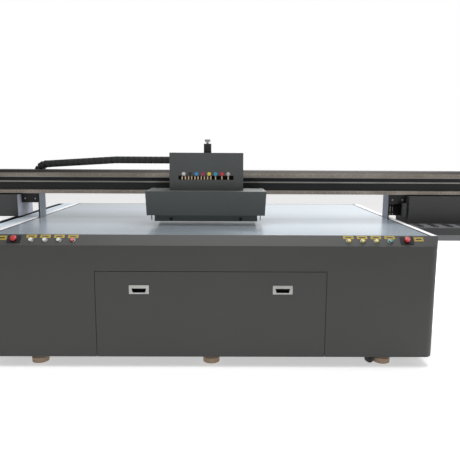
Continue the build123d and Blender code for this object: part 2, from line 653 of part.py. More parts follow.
casters = {
    "front_left": (-foot_x, -end_tube_y, 62.0),
    "front_right": (foot_x, -end_tube_y, 200.0),
    "rear_left": (-foot_x, end_tube_y, 0.0),
    "rear_right": (foot_x, end_tube_y, 180.0),
}
fixed_arms = []
for name, place in casters.items():
    wheel = caster_wheel(caster_plane(*place))
    wheel.label = f"caster_wheel_{name}"
    export_step(wheel, f"parts/caster_wheel_{name}.step")
    arm = caster_arm(caster_plane(*place))
    if name.startswith("front"):
        arm.label = f"caster_arm_{name}"
        export_step(arm, f"parts/caster_arm_{name}.step")
    else:
        fixed_arms.append(arm)
with BuildPart() as foot_plates:
    for place in foot_places:
        with Locations((place[0], place[1], FRAME_LOW - CASTER_PLATE / 2)):
            Box(TUBE + 2 * PLATE_OVERHANG, TUBE, CASTER_PLATE)
            Cylinder(STEM_RADIUS + CLEAR, CASTER_PLATE + 1, mode=Mode.SUBTRACT)
levelling_feet = Compound(
    label="levelling_feet", children=[foot_pads.part, foot_stems.part, foot_plates.part, *fixed_arms]
)
export_step(levelling_feet, "parts/levelling_feet.step")

# ---------------------------------------------------------------- controls on the slanted band

COLLAR_TALL = 5.0
BARREL_DEEP = 28.0
CAP_TALL = 9.0
CAP_FILLET = 2.0
PRESS_TRAVEL = 3.5
STEM_HOLE = 6.5
STEM_END_GAP = 6.0  # end of the barrel to the end of the stem
ESTOP_PLATE = 3.0
ESTOP_BARREL_DEEP = 40.0
ESTOP_STEM_HOLE = 9.5
cap_base = PRESS_TRAVEL + 0.5  # the cap's underside, above the panel, at rest
with BuildPart() as switch_plates:
    for x in button_x:
        plane = band_plane(x, BUTTON_DOWN)
        with BuildSketch(plane):
            Circle(COLLAR_RADIUS)
        extrude(amount=COLLAR_TALL)
        with BuildSketch(plane):
            Circle(BARREL_RADIUS)
        extrude(amount=-BARREL_DEEP)
        with BuildSketch(plane.offset(-BARREL_DEEP - 1)):
            Circle(STEM_HOLE)
        extrude(amount=BARREL_DEEP + COLLAR_TALL + 2 * CUT, mode=Mode.SUBTRACT)
        with BuildSketch(plane):
            Circle(BUTTON_RADIUS + CLEAR)
        extrude(amount=COLLAR_TALL + 1, mode=Mode.SUBTRACT)
    for x in estop_x.values():
        plane = band_plane(x, ESTOP_DOWN)
        with BuildSketch(plane):
            RectangleRounded(ESTOP_PLATE_WIDTH, ESTOP_PLATE_TALL, 4)
        extrude(amount=ESTOP_PLATE)
        with BuildSketch(plane):
            Circle(ESTOP_BARREL)
        extrude(amount=-ESTOP_BARREL_DEEP)
        with BuildSketch(plane.offset(-ESTOP_BARREL_DEEP - CUT)):
            Circle(ESTOP_STEM_HOLE)
        extrude(amount=ESTOP_BARREL_DEEP + ESTOP_PLATE + 2 * CUT, mode=Mode.SUBTRACT)
switch_plates.part.label = "switch_plates"
export_step(switch_plates.part, "parts/switch_plates.step")

for name, x in zip(button_names, button_x):
    plane = band_plane(x, BUTTON_DOWN)
    with BuildPart() as button:
        with BuildSketch(plane.offset(cap_base)):
            Circle(BUTTON_RADIUS)
        extrude(amount=CAP_TALL)
        fillet(button.edges().filter_by(GeomType.CIRCLE).sort_by(Axis.Z)[-1], CAP_FILLET)
        with BuildSketch(plane.offset(cap_base)):
            Circle(STEM_HOLE - CLEAR)
        extrude(amount=STEM_END_GAP - BARREL_DEEP)
    button.part.label = f"button_{name}"
    export_step(button.part, f"parts/button_{name}.step")

ESTOP_TRAVEL = 4.0
ESTOP_NECK = (17.0, 6.0)  # radius and height
ESTOP_CAP_TALL = 9.0
ESTOP_FILLET = 5.0
ESTOP_STEM = 34.0
estop_base = ESTOP_PLATE + ESTOP_TRAVEL + 1
for name, x in estop_x.items():
    plane = band_plane(x, ESTOP_DOWN)
    with BuildPart() as estop:
        with BuildSketch(plane.offset(estop_base)):
            Circle(ESTOP_NECK[0])
        extrude(amount=ESTOP_NECK[1])
        with BuildSketch(plane.offset(estop_base + ESTOP_NECK[1])):
            Circle(ESTOP_RADIUS)
        extrude(amount=ESTOP_CAP_TALL)
        fillet(estop.edges().filter_by(GeomType.CIRCLE).sort_by(Axis.Z)[-1], ESTOP_FILLET)
        with BuildSketch(plane.offset(estop_base)):
            Circle(ESTOP_STEM_HOLE - CLEAR)
        extrude(amount=-ESTOP_STEM)
    estop.part.label = f"estop_{name}"
    export_step(estop.part, f"parts/estop_{name}.step")

# ---------------------------------------------------------------- side channel for the long axis's cables

CHANNEL_OUTER = 175.0  # cabinet side to the channel's outer wall
CHANNEL_TALL = 176.0
CHANNEL_SLOT = (105.0, 157.0)
CHANNEL_INSET = (110.0, 30.0)  # front and back of the cabinet to the ends of the channel
SLOT_INSET = (40.0, 20.0)  # ends of the channel to the ends of its slot
channel_low = BED_HEIGHT - CHANNEL_TALL
channel_front = front_face + CHANNEL_INSET[0]
channel_back = half_depth - CHANNEL_INSET[1]
with BuildPart() as y_chain_tray:
    block(-half_width - CHANNEL_OUTER, -half_width, channel_front, channel_back, channel_low, BED_HEIGHT)
    block(-half_width - CHANNEL_OUTER + SHEET, -half_width - SHEET, channel_front + SHEET,
          channel_back - SHEET, channel_low + SHEET, BED_HEIGHT - SHEET, mode=Mode.SUBTRACT)
    block(-half_width - CHANNEL_SLOT[1], -half_width - CHANNEL_SLOT[0], channel_front + SLOT_INSET[0],
          channel_back - SLOT_INSET[1], BED_HEIGHT - SHEET - CUT, BED_HEIGHT + CUT, mode=Mode.SUBTRACT)
y_chain_tray.part.label = "y_chain_tray"
export_step(y_chain_tray.part, "parts/y_chain_tray.step")

# ---------------------------------------------------------------- beam

# Shares of the beam's height, from below: land of the lower rail, magnets, rib, cover strip, upper land.
LOWER_LAND = 0.172
MAGNET_BAND = 0.312
RIB_BAND = 0.054
COVER_STRIP_BAND = 0.156
UPPER_LAND = 0.199
RECESS = 10.0
BEAM_WALL = 10.0
recess_low = beam_low + LOWER_LAND * BEAM_HEIGHT
rib_low = recess_low + MAGNET_BAND * BEAM_HEIGHT
rib_high = rib_low + RIB_BAND * BEAM_HEIGHT
recess_high = rib_high + COVER_STRIP_BAND * BEAM_HEIGHT
land_high = recess_high + UPPER_LAND * BEAM_HEIGHT
shoulder = beam_top - land_high
with BuildPart() as beam:
    with BuildSketch(Plane.YZ.offset(-beam_half)):
        with BuildLine():
            Polyline(
                (BEAM_FRONT, beam_low),
                (BEAM_FRONT, recess_low),
                (BEAM_FRONT + RECESS, recess_low),
                (BEAM_FRONT + RECESS, rib_low),
                (BEAM_FRONT + 1, rib_low),
                (BEAM_FRONT + 1, rib_high),
                (BEAM_FRONT + RECESS, rib_high),
                (BEAM_FRONT + RECESS, recess_high),
                (BEAM_FRONT, recess_high),
                (BEAM_FRONT, land_high),
                (BEAM_FRONT + shoulder, beam_top),
                (beam_back, beam_top),
                (beam_back, beam_low),
                close=True,
            )
        make_face()
        cell_wide = (BEAM_DEPTH - RECESS - 3 * BEAM_WALL - shoulder) / 2
        cell_tall = (BEAM_HEIGHT - 3 * BEAM_WALL) / 2
        middle_y = (BEAM_FRONT + RECESS + shoulder + beam_back) / 2
        with Locations((middle_y, (beam_low + beam_top) / 2)):
            with GridLocations(cell_wide + BEAM_WALL, cell_tall + BEAM_WALL, 2, 2):
                RectangleRounded(cell_wide, cell_tall, 6, mode=Mode.SUBTRACT)
    extrude(amount=BEAM_LENGTH)
beam.part.label = "beam"
export_step(beam.part, "parts/beam.step")

X_RAIL_WIDTH = 23.0
X_RAIL_TALL = 22.0
RAIL_HOLE_PITCH = 60.0
RAIL_END_GAP = 30.0
lower_rail_z = (beam_low + recess_low) / 2
upper_rail_z = (recess_high + land_high) / 2
with BuildPart() as beam_rails:
    for rail_z in (lower_rail_z, upper_rail_z):
        start = (-beam_half + RAIL_END_GAP, BEAM_FRONT, rail_z)
        with BuildSketch(Plane(origin=start, x_dir=(0, 0, 1), z_dir=(1, 0, 0))):
            add(rail_outline(X_RAIL_WIDTH, X_RAIL_TALL))
        extrude(amount=BEAM_LENGTH - 2 * RAIL_END_GAP)
    hole_count = int((BEAM_LENGTH - 2 * RAIL_END_GAP - RAIL_HOLE_PITCH / 2) / RAIL_HOLE_PITCH)
    with BuildSketch(Plane.XZ.offset(-BEAM_FRONT + X_RAIL_TALL)):
        with Locations((0, (lower_rail_z + upper_rail_z) / 2)):
            with GridLocations(RAIL_HOLE_PITCH, upper_rail_z - lower_rail_z, hole_count, 2):
                Circle(5.5)
    extrude(amount=-9, mode=Mode.SUBTRACT)
beam_rails.part.label = "beam_rails"
export_step(beam_rails.part, "parts/beam_rails.step")

with BuildPart() as magnet_track:
    for low, high in ((recess_low, rib_low), (rib_high, recess_high)):
        block(-beam_half + RAIL_END_GAP, beam_half - RAIL_END_GAP, BEAM_FRONT + 1.5, BEAM_FRONT + RECESS,
              low + CLEAR, high - CLEAR)
magnet_track.part.label = "magnet_track"
export_step(magnet_track.part, "parts/magnet_track.step")

# ---------------------------------------------------------------- legs of the gantry

FOOT_FRONT = -195.0
FOOT_BACK = 105.0
BRACKET_TALL = 75.0
BRACKET_PLATE = 12.0
LEG_PLATE_LIFT = 12.0  # bed to the plate that closes the right leg's back
SADDLE = 8.0
LEG_LOW = 10.0  # rail seat to the underside of the legs
BOLT_INSETS = (21.0, 101.0)  # leg to the middle of the bracket's bolts
BOLT_DROP = 42.0
BOLT_RADIUS = 7.0
BOLT_HEAD = 6.0
NUT_HALF = 35.0
SCREW_NUT_TALL = 38.0
SCREW_NUT_LENGTH = 60.0
end_box_top = beam_low - SADDLE
foot_inner = screw_x - NUT_HALF
nut_front = (FOOT_FRONT + FOOT_BACK - SCREW_NUT_LENGTH) / 2
with BuildPart() as gantry_legs:
    for side in (-1, 1):
        block(side * leg_inner, side * leg_outer, LEG_FRONT, LEG_BACK, rail_seat + LEG_LOW, beam_low)
        block(side * foot_inner, side * leg_inner, FOOT_FRONT, FOOT_BACK, block_top,
              block_top + FOOT_THICKNESS)
        for face_y in (LEG_FRONT, LEG_BACK - BRACKET_PLATE):
            block(side * leg_outer, side * box_inner, face_y, face_y + BRACKET_PLATE,
                  beam_low - BRACKET_TALL, beam_low)
        block(side * leg_outer, side * box_inner, LEG_FRONT, LEG_BACK, beam_low - BRACKET_PLATE, beam_low)
        block(side * box_inner, side * beam_half, LEG_FRONT, LEG_BACK, end_box_top, beam_low)
        if side > 0:
            block(leg_outer, box_inner, LEG_BACK - BRACKET_PLATE, LEG_BACK, BED_HEIGHT + LEG_PLATE_LIFT,
                  beam_low)
        for inset in BOLT_INSETS:
            rod((side * (leg_outer + inset), LEG_FRONT, beam_low - BOLT_DROP), (0, -1, 0), BOLT_RADIUS, BOLT_HEAD)
gantry_legs.part.label = "gantry_legs"
export_step(gantry_legs.part, "parts/gantry_legs.step")

BLOCK_WIDTH = 70.0
BLOCK_LENGTH = 84.0
with BuildPart() as y_bearing_blocks:
    for side in (-1, 1):
        for block_y in (FOOT_FRONT + BLOCK_LENGTH / 2, FOOT_BACK - BLOCK_LENGTH / 2):
            block(side * (side_tube_x - BLOCK_WIDTH / 2), side * (side_tube_x + BLOCK_WIDTH / 2),
                  block_y - BLOCK_LENGTH / 2, block_y + BLOCK_LENGTH / 2, block_top - BLOCK_TALL, block_top)
            block(side * side_tube_x - RAIL_WIDTH / 2 - CLEAR, side * side_tube_x + RAIL_WIDTH / 2 + CLEAR,
                  block_y - BLOCK_LENGTH / 2 - 1, block_y + BLOCK_LENGTH / 2 + 1,
                  block_top - BLOCK_TALL - 1, rail_seat + RAIL_TALL + CLEAR, mode=Mode.SUBTRACT)
        block(side * (screw_x - NUT_HALF), side * (screw_x + NUT_HALF), nut_front,
              nut_front + SCREW_NUT_LENGTH, block_top - SCREW_NUT_TALL, block_top)
        rod((side * screw_x, nut_front - 1, screw_z), (0, 1, 0), SCREW_RADIUS + RUNNING,
            SCREW_NUT_LENGTH + 2, mode=Mode.SUBTRACT)
y_bearing_blocks.part.label = "y_bearing_blocks"
export_step(y_bearing_blocks.part, "parts/y_bearing_blocks.step")

# ---------------------------------------------------------------- boxes at the ends of the gantry

LEFT_BOX_LIFT = 17.0  # bed to the underside of the left box
CABLE_ARM = (110.0, 150.0)  # cabinet side to the arm that reaches into the channel
CABLE_ARM_FRONT = -60.0
CABLE_ARM_BACK = -20.0
CABLE_ARM_DROP = 60.0
with BuildPart() as left_box_shell:
    left_low = BED_HEIGHT + LEFT_BOX_LIFT
    block(-beam_half, -box_inner, END_BOX_FRONT, END_BOX_BACK, left_low, end_box_top)
    block(-beam_half + BOX_SHEET, -box_inner - BOX_SHEET, END_BOX_FRONT + BOX_SHEET, END_BOX_BACK + 1,
          left_low + BOX_SHEET, end_box_top - BOX_SHEET, mode=Mode.SUBTRACT)
    block(-half_width - CABLE_ARM[1], -half_width - CABLE_ARM[0], CABLE_ARM_FRONT, CABLE_ARM_BACK,
          BED_HEIGHT - CABLE_ARM_DROP, left_low)
with BuildPart() as left_box_back:
    block(-beam_half, -box_inner, END_BOX_BACK, END_BOX_BACK + BOX_SHEET, left_low, end_box_top)
end_box_left = Compound(label="end_box_left", children=[left_box_shell.part, left_box_back.part])
export_step(end_box_left, "parts/end_box_left.step")

TRAY_DROP = 30.0  # bed to the top of the parking tray
TRAY_FACE = 59.0
LIP_TALL = 41.0
LIP_OUT = 18.0
tray_top = BED_HEIGHT - TRAY_DROP
lip_top = tray_top - TRAY_FACE
right_low = lip_top - LIP_TALL


def right_box_profile(inset):
    """Side view of the right box: tall part, parking tray in front and a sloping lip below it."""
    open_back = END_BOX_BACK + (1 if inset else 0)
    with BuildSketch() as outline:
        with BuildLine():
            Polyline(
                (END_BOX_FRONT + inset, end_box_top - inset),
                (END_BOX_FRONT + inset, tray_top - inset),
                (TRAY_FRONT + inset, tray_top - inset),
                (TRAY_FRONT + inset, lip_top - inset),
                (TRAY_FRONT - LIP_OUT + inset, right_low + inset),
                (open_back, right_low + inset),
                (open_back, end_box_top - inset),
                close=True,
            )
        make_face()
    return outline.sketch_local


CAP_INSET = 25.0  # inner end of the box to the first cap
RIM_ABOVE_TRAY = 7.0  # tray to the rims of the caps
CAP_MARGIN = 3.0
CAP_WALL = 3.0
cap_width = JET_WIDTH + 2 * CAP_MARGIN
cap_length = JET_LENGTH + 2 * CAP_MARGIN
caps_x = box_inner + CAP_INSET + (cap_width + (HEAD_COLUMNS - 1) * HEAD_PITCH_X) / 2
FILTER_RADIUS = 22.0
FILTER_LOW = 19.0  # bed to the underside of the filter
FILTER_TALL = 110.0
FILTER_GAP = 4.0
FILTER_INSET = 30.0  # front of the box to the middle of the filter
CLAMP = 10.0
CLAMP_INSETS = (20.0, 30.0)  # ends of the filter to the clamps
with BuildPart() as right_box_shell:
    with BuildSketch(Plane.YZ.offset(box_inner)):
        add(right_box_profile(0))
    extrude(amount=beam_half - box_inner)
    with BuildSketch(Plane.YZ.offset(box_inner + BOX_SHEET)):
        add(right_box_profile(BOX_SHEET))
    extrude(amount=beam_half - box_inner - 2 * BOX_SHEET, mode=Mode.SUBTRACT)
    # A filter stands beside the box, held by a clamp on its inner side.
    filter_x = box_inner - FILTER_RADIUS - FILTER_GAP
    filter_y = END_BOX_FRONT + FILTER_INSET
    filter_low = BED_HEIGHT + FILTER_LOW
    rod((filter_x, filter_y, filter_low), (0, 0, 1), FILTER_RADIUS, FILTER_TALL)
    for clamp_z in (filter_low + CLAMP_INSETS[0], filter_low + FILTER_TALL - CLAMP_INSETS[1]):
        block(filter_x, box_inner, filter_y - CLAMP, filter_y + CLAMP, clamp_z, clamp_z + CLAMP)
with BuildPart() as right_box_back:
    block(box_inner, beam_half, END_BOX_BACK, END_BOX_BACK + BOX_SHEET, right_low, end_box_top)
with BuildPart() as caps:
    with BuildSketch(Plane.XY.offset(tray_top)):
        with Locations((caps_x, jet_y)):
            with GridLocations(HEAD_PITCH_X, HEAD_PITCH_Y, HEAD_COLUMNS, HEAD_ROWS):
                RectangleRounded(cap_width, cap_length, 4)
                RectangleRounded(cap_width - 2 * CAP_WALL, cap_length - 2 * CAP_WALL, 2, mode=Mode.SUBTRACT)
    extrude(amount=RIM_ABOVE_TRAY)
end_box_right = Compound(
    label="end_box_right", children=[right_box_shell.part, right_box_back.part, caps.part]
)
export_step(end_box_right, "parts/end_box_right.step")

TANK_COUNT = 8
TANK_INSET = 27.0  # end of the box to the first tank's share
TANK_TALL = 230.0
TANK_LENGTH = 150.0
TANK_BACK_GAP = 10.0
TANK_GAP = 8.0
TANK_CORNER = 8.0
TANK_NECK = 22.0
tank_y = END_BOX_BACK - TANK_BACK_GAP - TANK_LENGTH / 2
tank_pitch = (beam_half - box_inner - 2 * TANK_INSET) / TANK_COUNT
with BuildPart() as ink_tanks:
    tank_x = (box_inner + beam_half) / 2
    with BuildSketch(Plane.XY.offset(right_low + BOX_SHEET)):
        with Locations((tank_x, tank_y)):
            with GridLocations(tank_pitch, 0, TANK_COUNT, 1):
                RectangleRounded(tank_pitch - TANK_GAP, TANK_LENGTH, TANK_CORNER)
    extrude(amount=TANK_TALL)
    with BuildSketch(Plane.XY.offset(right_low + BOX_SHEET + TANK_TALL)):
        with Locations((tank_x, tank_y)):
            with GridLocations(tank_pitch, 0, TANK_COUNT, 1):
                Circle(tank_pitch / 4)
    extrude(amount=TANK_NECK)
ink_tanks.part.label = "ink_tanks"
export_step(ink_tanks.part, "parts/ink_tanks.step")

# ---------------------------------------------------------------- cable chain of the beam

CHAIN_TALL = 57.0
CHAIN_WIDTH = 80.0
CHAIN_BEND = 82.0
CHAIN_FIXED_X = -330.0
CHAIN_BEND_X = -1383.0
CHAIN_CREST_X = -820.0
CHAIN_SAG = 35.5
CHAIN_END_INSET = 210.0  # end of the chain to the middle of the carriage
TROUGH_DROP = 154.0  # beam top to the trough's floor
TROUGH_WALL = 62.0
TROUGH_GAP = 9.0  # sides of the chain to the beam and to the trough's outer face
TROUGH_REACH = 150.0  # fixed end of the chain to the end of the trough
TROUGH_INSET = 5.0  # end of the beam to the other end of the trough
trough_low = beam_top - TROUGH_DROP
chain_front = beam_back + TROUGH_GAP
trough_back = chain_front + CHAIN_WIDTH + TROUGH_GAP
with BuildPart() as chain_trough:
    block(-beam_half + TROUGH_INSET, CHAIN_FIXED_X + TROUGH_REACH, beam_back, trough_back, trough_low,
          trough_low + TROUGH_WALL)
    block(-beam_half + TROUGH_INSET - CUT, CHAIN_FIXED_X + TROUGH_REACH + CUT, beam_back + SHEET,
          trough_back - SHEET, trough_low + SHEET, trough_low + TROUGH_WALL + CUT, mode=Mode.SUBTRACT)
chain_trough.part.label = "chain_trough"
export_step(chain_trough.part, "parts/chain_trough.step")

lower_run = trough_low + SHEET + CLEAR + CHAIN_TALL / 2
bend_top = lower_run + 2 * CHAIN_BEND
upper_run = bend_top + CHAIN_SAG
chain_end_x = CARRIAGE_X - CHAIN_END_INSET
half_tall = CHAIN_TALL / 2
with BuildPart() as cable_chain:
    with BuildSketch(Plane.XZ.offset(-chain_front)):
        with BuildLine():
            Line((CHAIN_FIXED_X, lower_run - half_tall), (CHAIN_BEND_X, lower_run - half_tall))
            ThreePointArc(
                (CHAIN_BEND_X, lower_run - half_tall),
                (CHAIN_BEND_X - CHAIN_BEND - half_tall, lower_run + CHAIN_BEND),
                (CHAIN_BEND_X, bend_top + half_tall),
            )
            Polyline(
                (CHAIN_BEND_X, bend_top + half_tall),
                (CHAIN_CREST_X, upper_run + half_tall),
                (chain_end_x, upper_run + half_tall),
                (chain_end_x, upper_run - half_tall),
                (CHAIN_CREST_X, upper_run - half_tall),
                (CHAIN_BEND_X, bend_top - half_tall),
            )
            ThreePointArc(
                (CHAIN_BEND_X, bend_top - half_tall),
                (CHAIN_BEND_X - CHAIN_BEND + half_tall, lower_run + CHAIN_BEND),
                (CHAIN_BEND_X, lower_run + half_tall),
            )
            Polyline(
                (CHAIN_BEND_X, lower_run + half_tall),
                (CHAIN_FIXED_X, lower_run + half_tall),
                (CHAIN_FIXED_X, lower_run - half_tall),
            )
        make_face()
    extrude(amount=-CHAIN_WIDTH)
cable_chain.part.label = "cable_chain"
export_step(cable_chain.part, "parts/cable_chain.step")

# ---------------------------------------------------------------- carriage

X_BLOCK_WIDTH = 46.0
X_BLOCK_LENGTH = 80.0
SLIDER_HALF = 150.0
SLIDER_DROP = 2.0  # upper cover's top to the slider plate's top
SLIDER_LIFT = 2.0  # underside of the beam to the lower edge of the slider plate
RAIL_MARGIN = 8.0
SCREW_SHELF = (40.0, 24.0, 12.0)  # width, reach and thickness of the shelf under the lift screw
SCREW_REACH = 14.0  # slider plate to the lift screw
ARM_LAP = 80.0  # how far the chain's arm reaches over the slider plate
ARM_PAST_CHAIN = 6.0
ARM_BEFORE_CHAIN = 30.0
LIFT_RAIL_WIDTH = 15.0
LIFT_RAIL_TALL = 12.0
LIFT_RAIL_SPREAD = 220.0
LIFT_SCREW_RADIUS = 7.0
SHAFT_RADIUS = 5.0
Z_MOTOR_SIZE = 57.0
Z_MOTOR_TALL = 56.0
CHAIN_ARM = 8.0
MOTOR_BRACKET = 15.0

slider_top = upper_top - SLIDER_DROP
slider_low = beam_low + SLIDER_LIFT
lift_screw_y = slider_front - SCREW_REACH
arm_top = upper_run - half_tall - CLEAR
with BuildPart() as slider_casting:
    block(CARRIAGE_X - SLIDER_HALF, CARRIAGE_X + SLIDER_HALF, slider_front, slider_back, slider_low,
          slider_top)
    for side in (-1, 1):
        start = (CARRIAGE_X + side * LIFT_RAIL_SPREAD / 2, slider_front, slider_low + RAIL_MARGIN)
        with BuildSketch(Plane(origin=start, x_dir=(1, 0, 0), z_dir=(0, 0, 1))):
            with Locations((0, -LIFT_RAIL_TALL / 2)):
                Rectangle(LIFT_RAIL_WIDTH, LIFT_RAIL_TALL)
        extrude(amount=slider_top - slider_low - 2 * RAIL_MARGIN)
    block(CARRIAGE_X - SCREW_SHELF[0] / 2, CARRIAGE_X + SCREW_SHELF[0] / 2, slider_front - SCREW_SHELF[1],
          slider_front, slider_low, slider_low + SCREW_SHELF[2])
    rod((CARRIAGE_X, lift_screw_y, slider_low - CUT), (0, 0, 1), LIFT_SCREW_RADIUS + RUNNING,
        SCREW_SHELF[2] + 2 * CUT, mode=Mode.SUBTRACT)
    block(CARRIAGE_X - Z_MOTOR_SIZE / 2, CARRIAGE_X + Z_MOTOR_SIZE / 2, lift_screw_y - Z_MOTOR_SIZE / 2,
          slider_back, slider_top, slider_top + MOTOR_BRACKET)
    rod((CARRIAGE_X, lift_screw_y, slider_top - 1), (0, 0, 1), SHAFT_RADIUS + RUNNING, MOTOR_BRACKET + 2,
        mode=Mode.SUBTRACT)
    block(chain_end_x - ARM_BEFORE_CHAIN, CARRIAGE_X - SLIDER_HALF + ARM_LAP, slider_back,
          chain_front + CHAIN_WIDTH + ARM_PAST_CHAIN, arm_top - CHAIN_ARM, arm_top)
with BuildPart() as x_bearing_blocks:
    for rail_z in (lower_rail_z, upper_rail_z):
        for side in (-1, 1):
            block_x = CARRIAGE_X + side * (SLIDER_HALF - X_BLOCK_LENGTH / 2)
            block(block_x - X_BLOCK_LENGTH / 2, block_x + X_BLOCK_LENGTH / 2, slider_back,
                  slider_back + X_BLOCK_TALL, rail_z - X_BLOCK_WIDTH / 2, rail_z + X_BLOCK_WIDTH / 2)
            block(block_x - X_BLOCK_LENGTH / 2 - 1, block_x + X_BLOCK_LENGTH / 2 + 1,
                  BEAM_FRONT - X_RAIL_TALL - CLEAR, BEAM_FRONT, rail_z - X_RAIL_WIDTH / 2 - CLEAR,
                  rail_z + X_RAIL_WIDTH / 2 + CLEAR, mode=Mode.SUBTRACT)
slider_plate = Compound(label="slider_plate", children=[slider_casting.part, x_bearing_blocks.part])
export_step(slider_plate, "parts/slider_plate.step")

motor_low = slider_top + MOTOR_BRACKET
motor_top = motor_low + Z_MOTOR_TALL
with BuildPart() as z_motor:
    with BuildSketch(Plane.XY.offset(motor_low)):
        with Locations((CARRIAGE_X, lift_screw_y)):
            RectangleRounded(Z_MOTOR_SIZE, Z_MOTOR_SIZE, 4)
            Circle(SHAFT_RADIUS + RUNNING, mode=Mode.SUBTRACT)
    extrude(amount=Z_MOTOR_TALL)
z_motor.part.label = "z_motor"
export_step(z_motor.part, "parts/z_motor.step")

KNOB_RADIUS = 22.0
KNOB_TALL = 20.0
KNOB_LOBES = 6
HUB = (10.0, 12.0)  # radius and height of the knob's hub
with BuildPart() as lift_screw:
    rod((CARRIAGE_X, lift_screw_y, slider_low + 2), (0, 0, 1), LIFT_SCREW_RADIUS,
        slider_top - slider_low - 3)
    rod((CARRIAGE_X, lift_screw_y, slider_top - 2), (0, 0, 1), SHAFT_RADIUS, motor_top - slider_top + KNOB_TALL)
    rod((CARRIAGE_X, lift_screw_y, motor_top + 1), (0, 0, 1), *HUB)
    with BuildSketch(Plane.XY.offset(motor_top + 1 + HUB[1])):
        with Locations((CARRIAGE_X, lift_screw_y)):
            Circle(KNOB_RADIUS - 5)
            with PolarLocations(KNOB_RADIUS - 6, KNOB_LOBES):
                Circle(6)
    extrude(amount=KNOB_TALL)
lift_screw.part.label = "lift_screw"
export_step(lift_screw.part, "parts/lift_screw.step")

# ---------------------------------------------------------------- lifting head

RIM = 6.0
RIM_TALL = 52.0
PLATE_FLOOR = 10.0
HEAD_FRONT_INSET = 29.0
LIFT_TOP_GAP = 85.0
LAMP_WIDTH = 58.0
LAMP_LENGTH = 230.0
LAMP_INSET = 65.0  # side of the head plate to the lamp's middle
GUARD_OUT = 24.0
GUARD_DEEP = 14.0
GUARD_BAR = (6.0, 5.0)  # height of the arm and thickness of the finger
GUARD_LIFT = 8.0
LIFT_PLATE_MARGIN = 30.0
LIFT_BLOCK = (40.0, 50.0)
LIFT_BLOCK_LIFTS = (50.0, 190.0)  # slider plate's lower edge to the middle of the blocks
LIFT_NUT = (48.0, 50.0)
LIFT_NUT_LIFT = 120.0

head_low = BED_HEIGHT + HEAD_CLEAR
head_floor = head_low + PLATE_FLOOR
head_front = LOWER_FRONT + HEAD_FRONT_INSET
head_half = LOWER_WIDTH / 2 - HEAD_INSET
lamp_spread = 2 * (head_half - LAMP_INSET)
lift_plate_top = upper_top - LIFT_TOP_GAP
lamp_y = (head_front + lift_plate_front) / 2
lower_cover_low = BED_HEIGHT + LOWER_CLEAR
with BuildPart() as head_plate:
    block(CARRIAGE_X - head_half, CARRIAGE_X + head_half, head_front, lift_plate_front, head_low, head_floor)
    block(CARRIAGE_X - head_half, CARRIAGE_X + head_half, head_front, head_front + RIM, head_low,
          head_low + RIM_TALL)
    for side in (-1, 1):
        edge = CARRIAGE_X + side * head_half
        block(edge - side * RIM, edge, head_front, lift_plate_front - COVER_SHEET - CLEAR, head_low,
              head_low + RIM_TALL)
        block(edge, edge + side * GUARD_OUT, head_front, head_front + GUARD_DEEP,
              head_low + RIM_TALL - GUARD_BAR[0], head_low + RIM_TALL)
        block(edge + side * (GUARD_OUT - GUARD_BAR[1]), edge + side * GUARD_OUT, head_front,
              head_front + GUARD_DEEP, head_low + GUARD_LIFT, head_low + RIM_TALL)
    plate_half = LIFT_RAIL_SPREAD / 2 + LIFT_PLATE_MARGIN
    block(CARRIAGE_X - plate_half, CARRIAGE_X + plate_half, lift_plate_front, lift_plate_back, head_low,
          lift_plate_top)
    for lift in LIFT_BLOCK_LIFTS:
        low, high = slider_low + lift - LIFT_BLOCK[1] / 2, slider_low + lift + LIFT_BLOCK[1] / 2
        for side in (-1, 1):
            rail_x = CARRIAGE_X + side * LIFT_RAIL_SPREAD / 2
            block(rail_x - LIFT_BLOCK[0] / 2, rail_x + LIFT_BLOCK[0] / 2, lift_plate_back, lift_block_back,
                  low, high)
            block(rail_x - LIFT_RAIL_WIDTH / 2 - CLEAR, rail_x + LIFT_RAIL_WIDTH / 2 + CLEAR,
                  slider_front - LIFT_RAIL_TALL - CLEAR, lift_block_back + CUT, low - CUT, high + CUT,
                  mode=Mode.SUBTRACT)
    nut_low = slider_low + LIFT_NUT_LIFT - LIFT_NUT[1] / 2
    block(CARRIAGE_X - LIFT_NUT[0] / 2, CARRIAGE_X + LIFT_NUT[0] / 2, lift_plate_back, slider_front - 3,
          nut_low, nut_low + LIFT_NUT[1])
    rod((CARRIAGE_X, lift_screw_y, nut_low - CUT), (0, 0, 1), LIFT_SCREW_RADIUS + RUNNING,
        LIFT_NUT[1] + 2 * CUT, mode=Mode.SUBTRACT)
    with BuildSketch(Plane.XY.offset(head_low - 1)):
        with Locations((CARRIAGE_X, jet_y)):
            with GridLocations(HEAD_PITCH_X, HEAD_PITCH_Y, HEAD_COLUMNS, HEAD_ROWS):
                Rectangle(JET_WIDTH + 2 * CLEAR, JET_LENGTH + 2 * CLEAR)
        with Locations((CARRIAGE_X, lamp_y)):
            with GridLocations(lamp_spread, 0, 2, 1):
                Rectangle(LAMP_WIDTH + 2 * CLEAR, LAMP_LENGTH + 2 * CLEAR)
    extrude(amount=PLATE_FLOOR + 2, mode=Mode.SUBTRACT)
head_plate.part.label = "head_plate"
export_step(head_plate.part, "parts/head_plate.step")

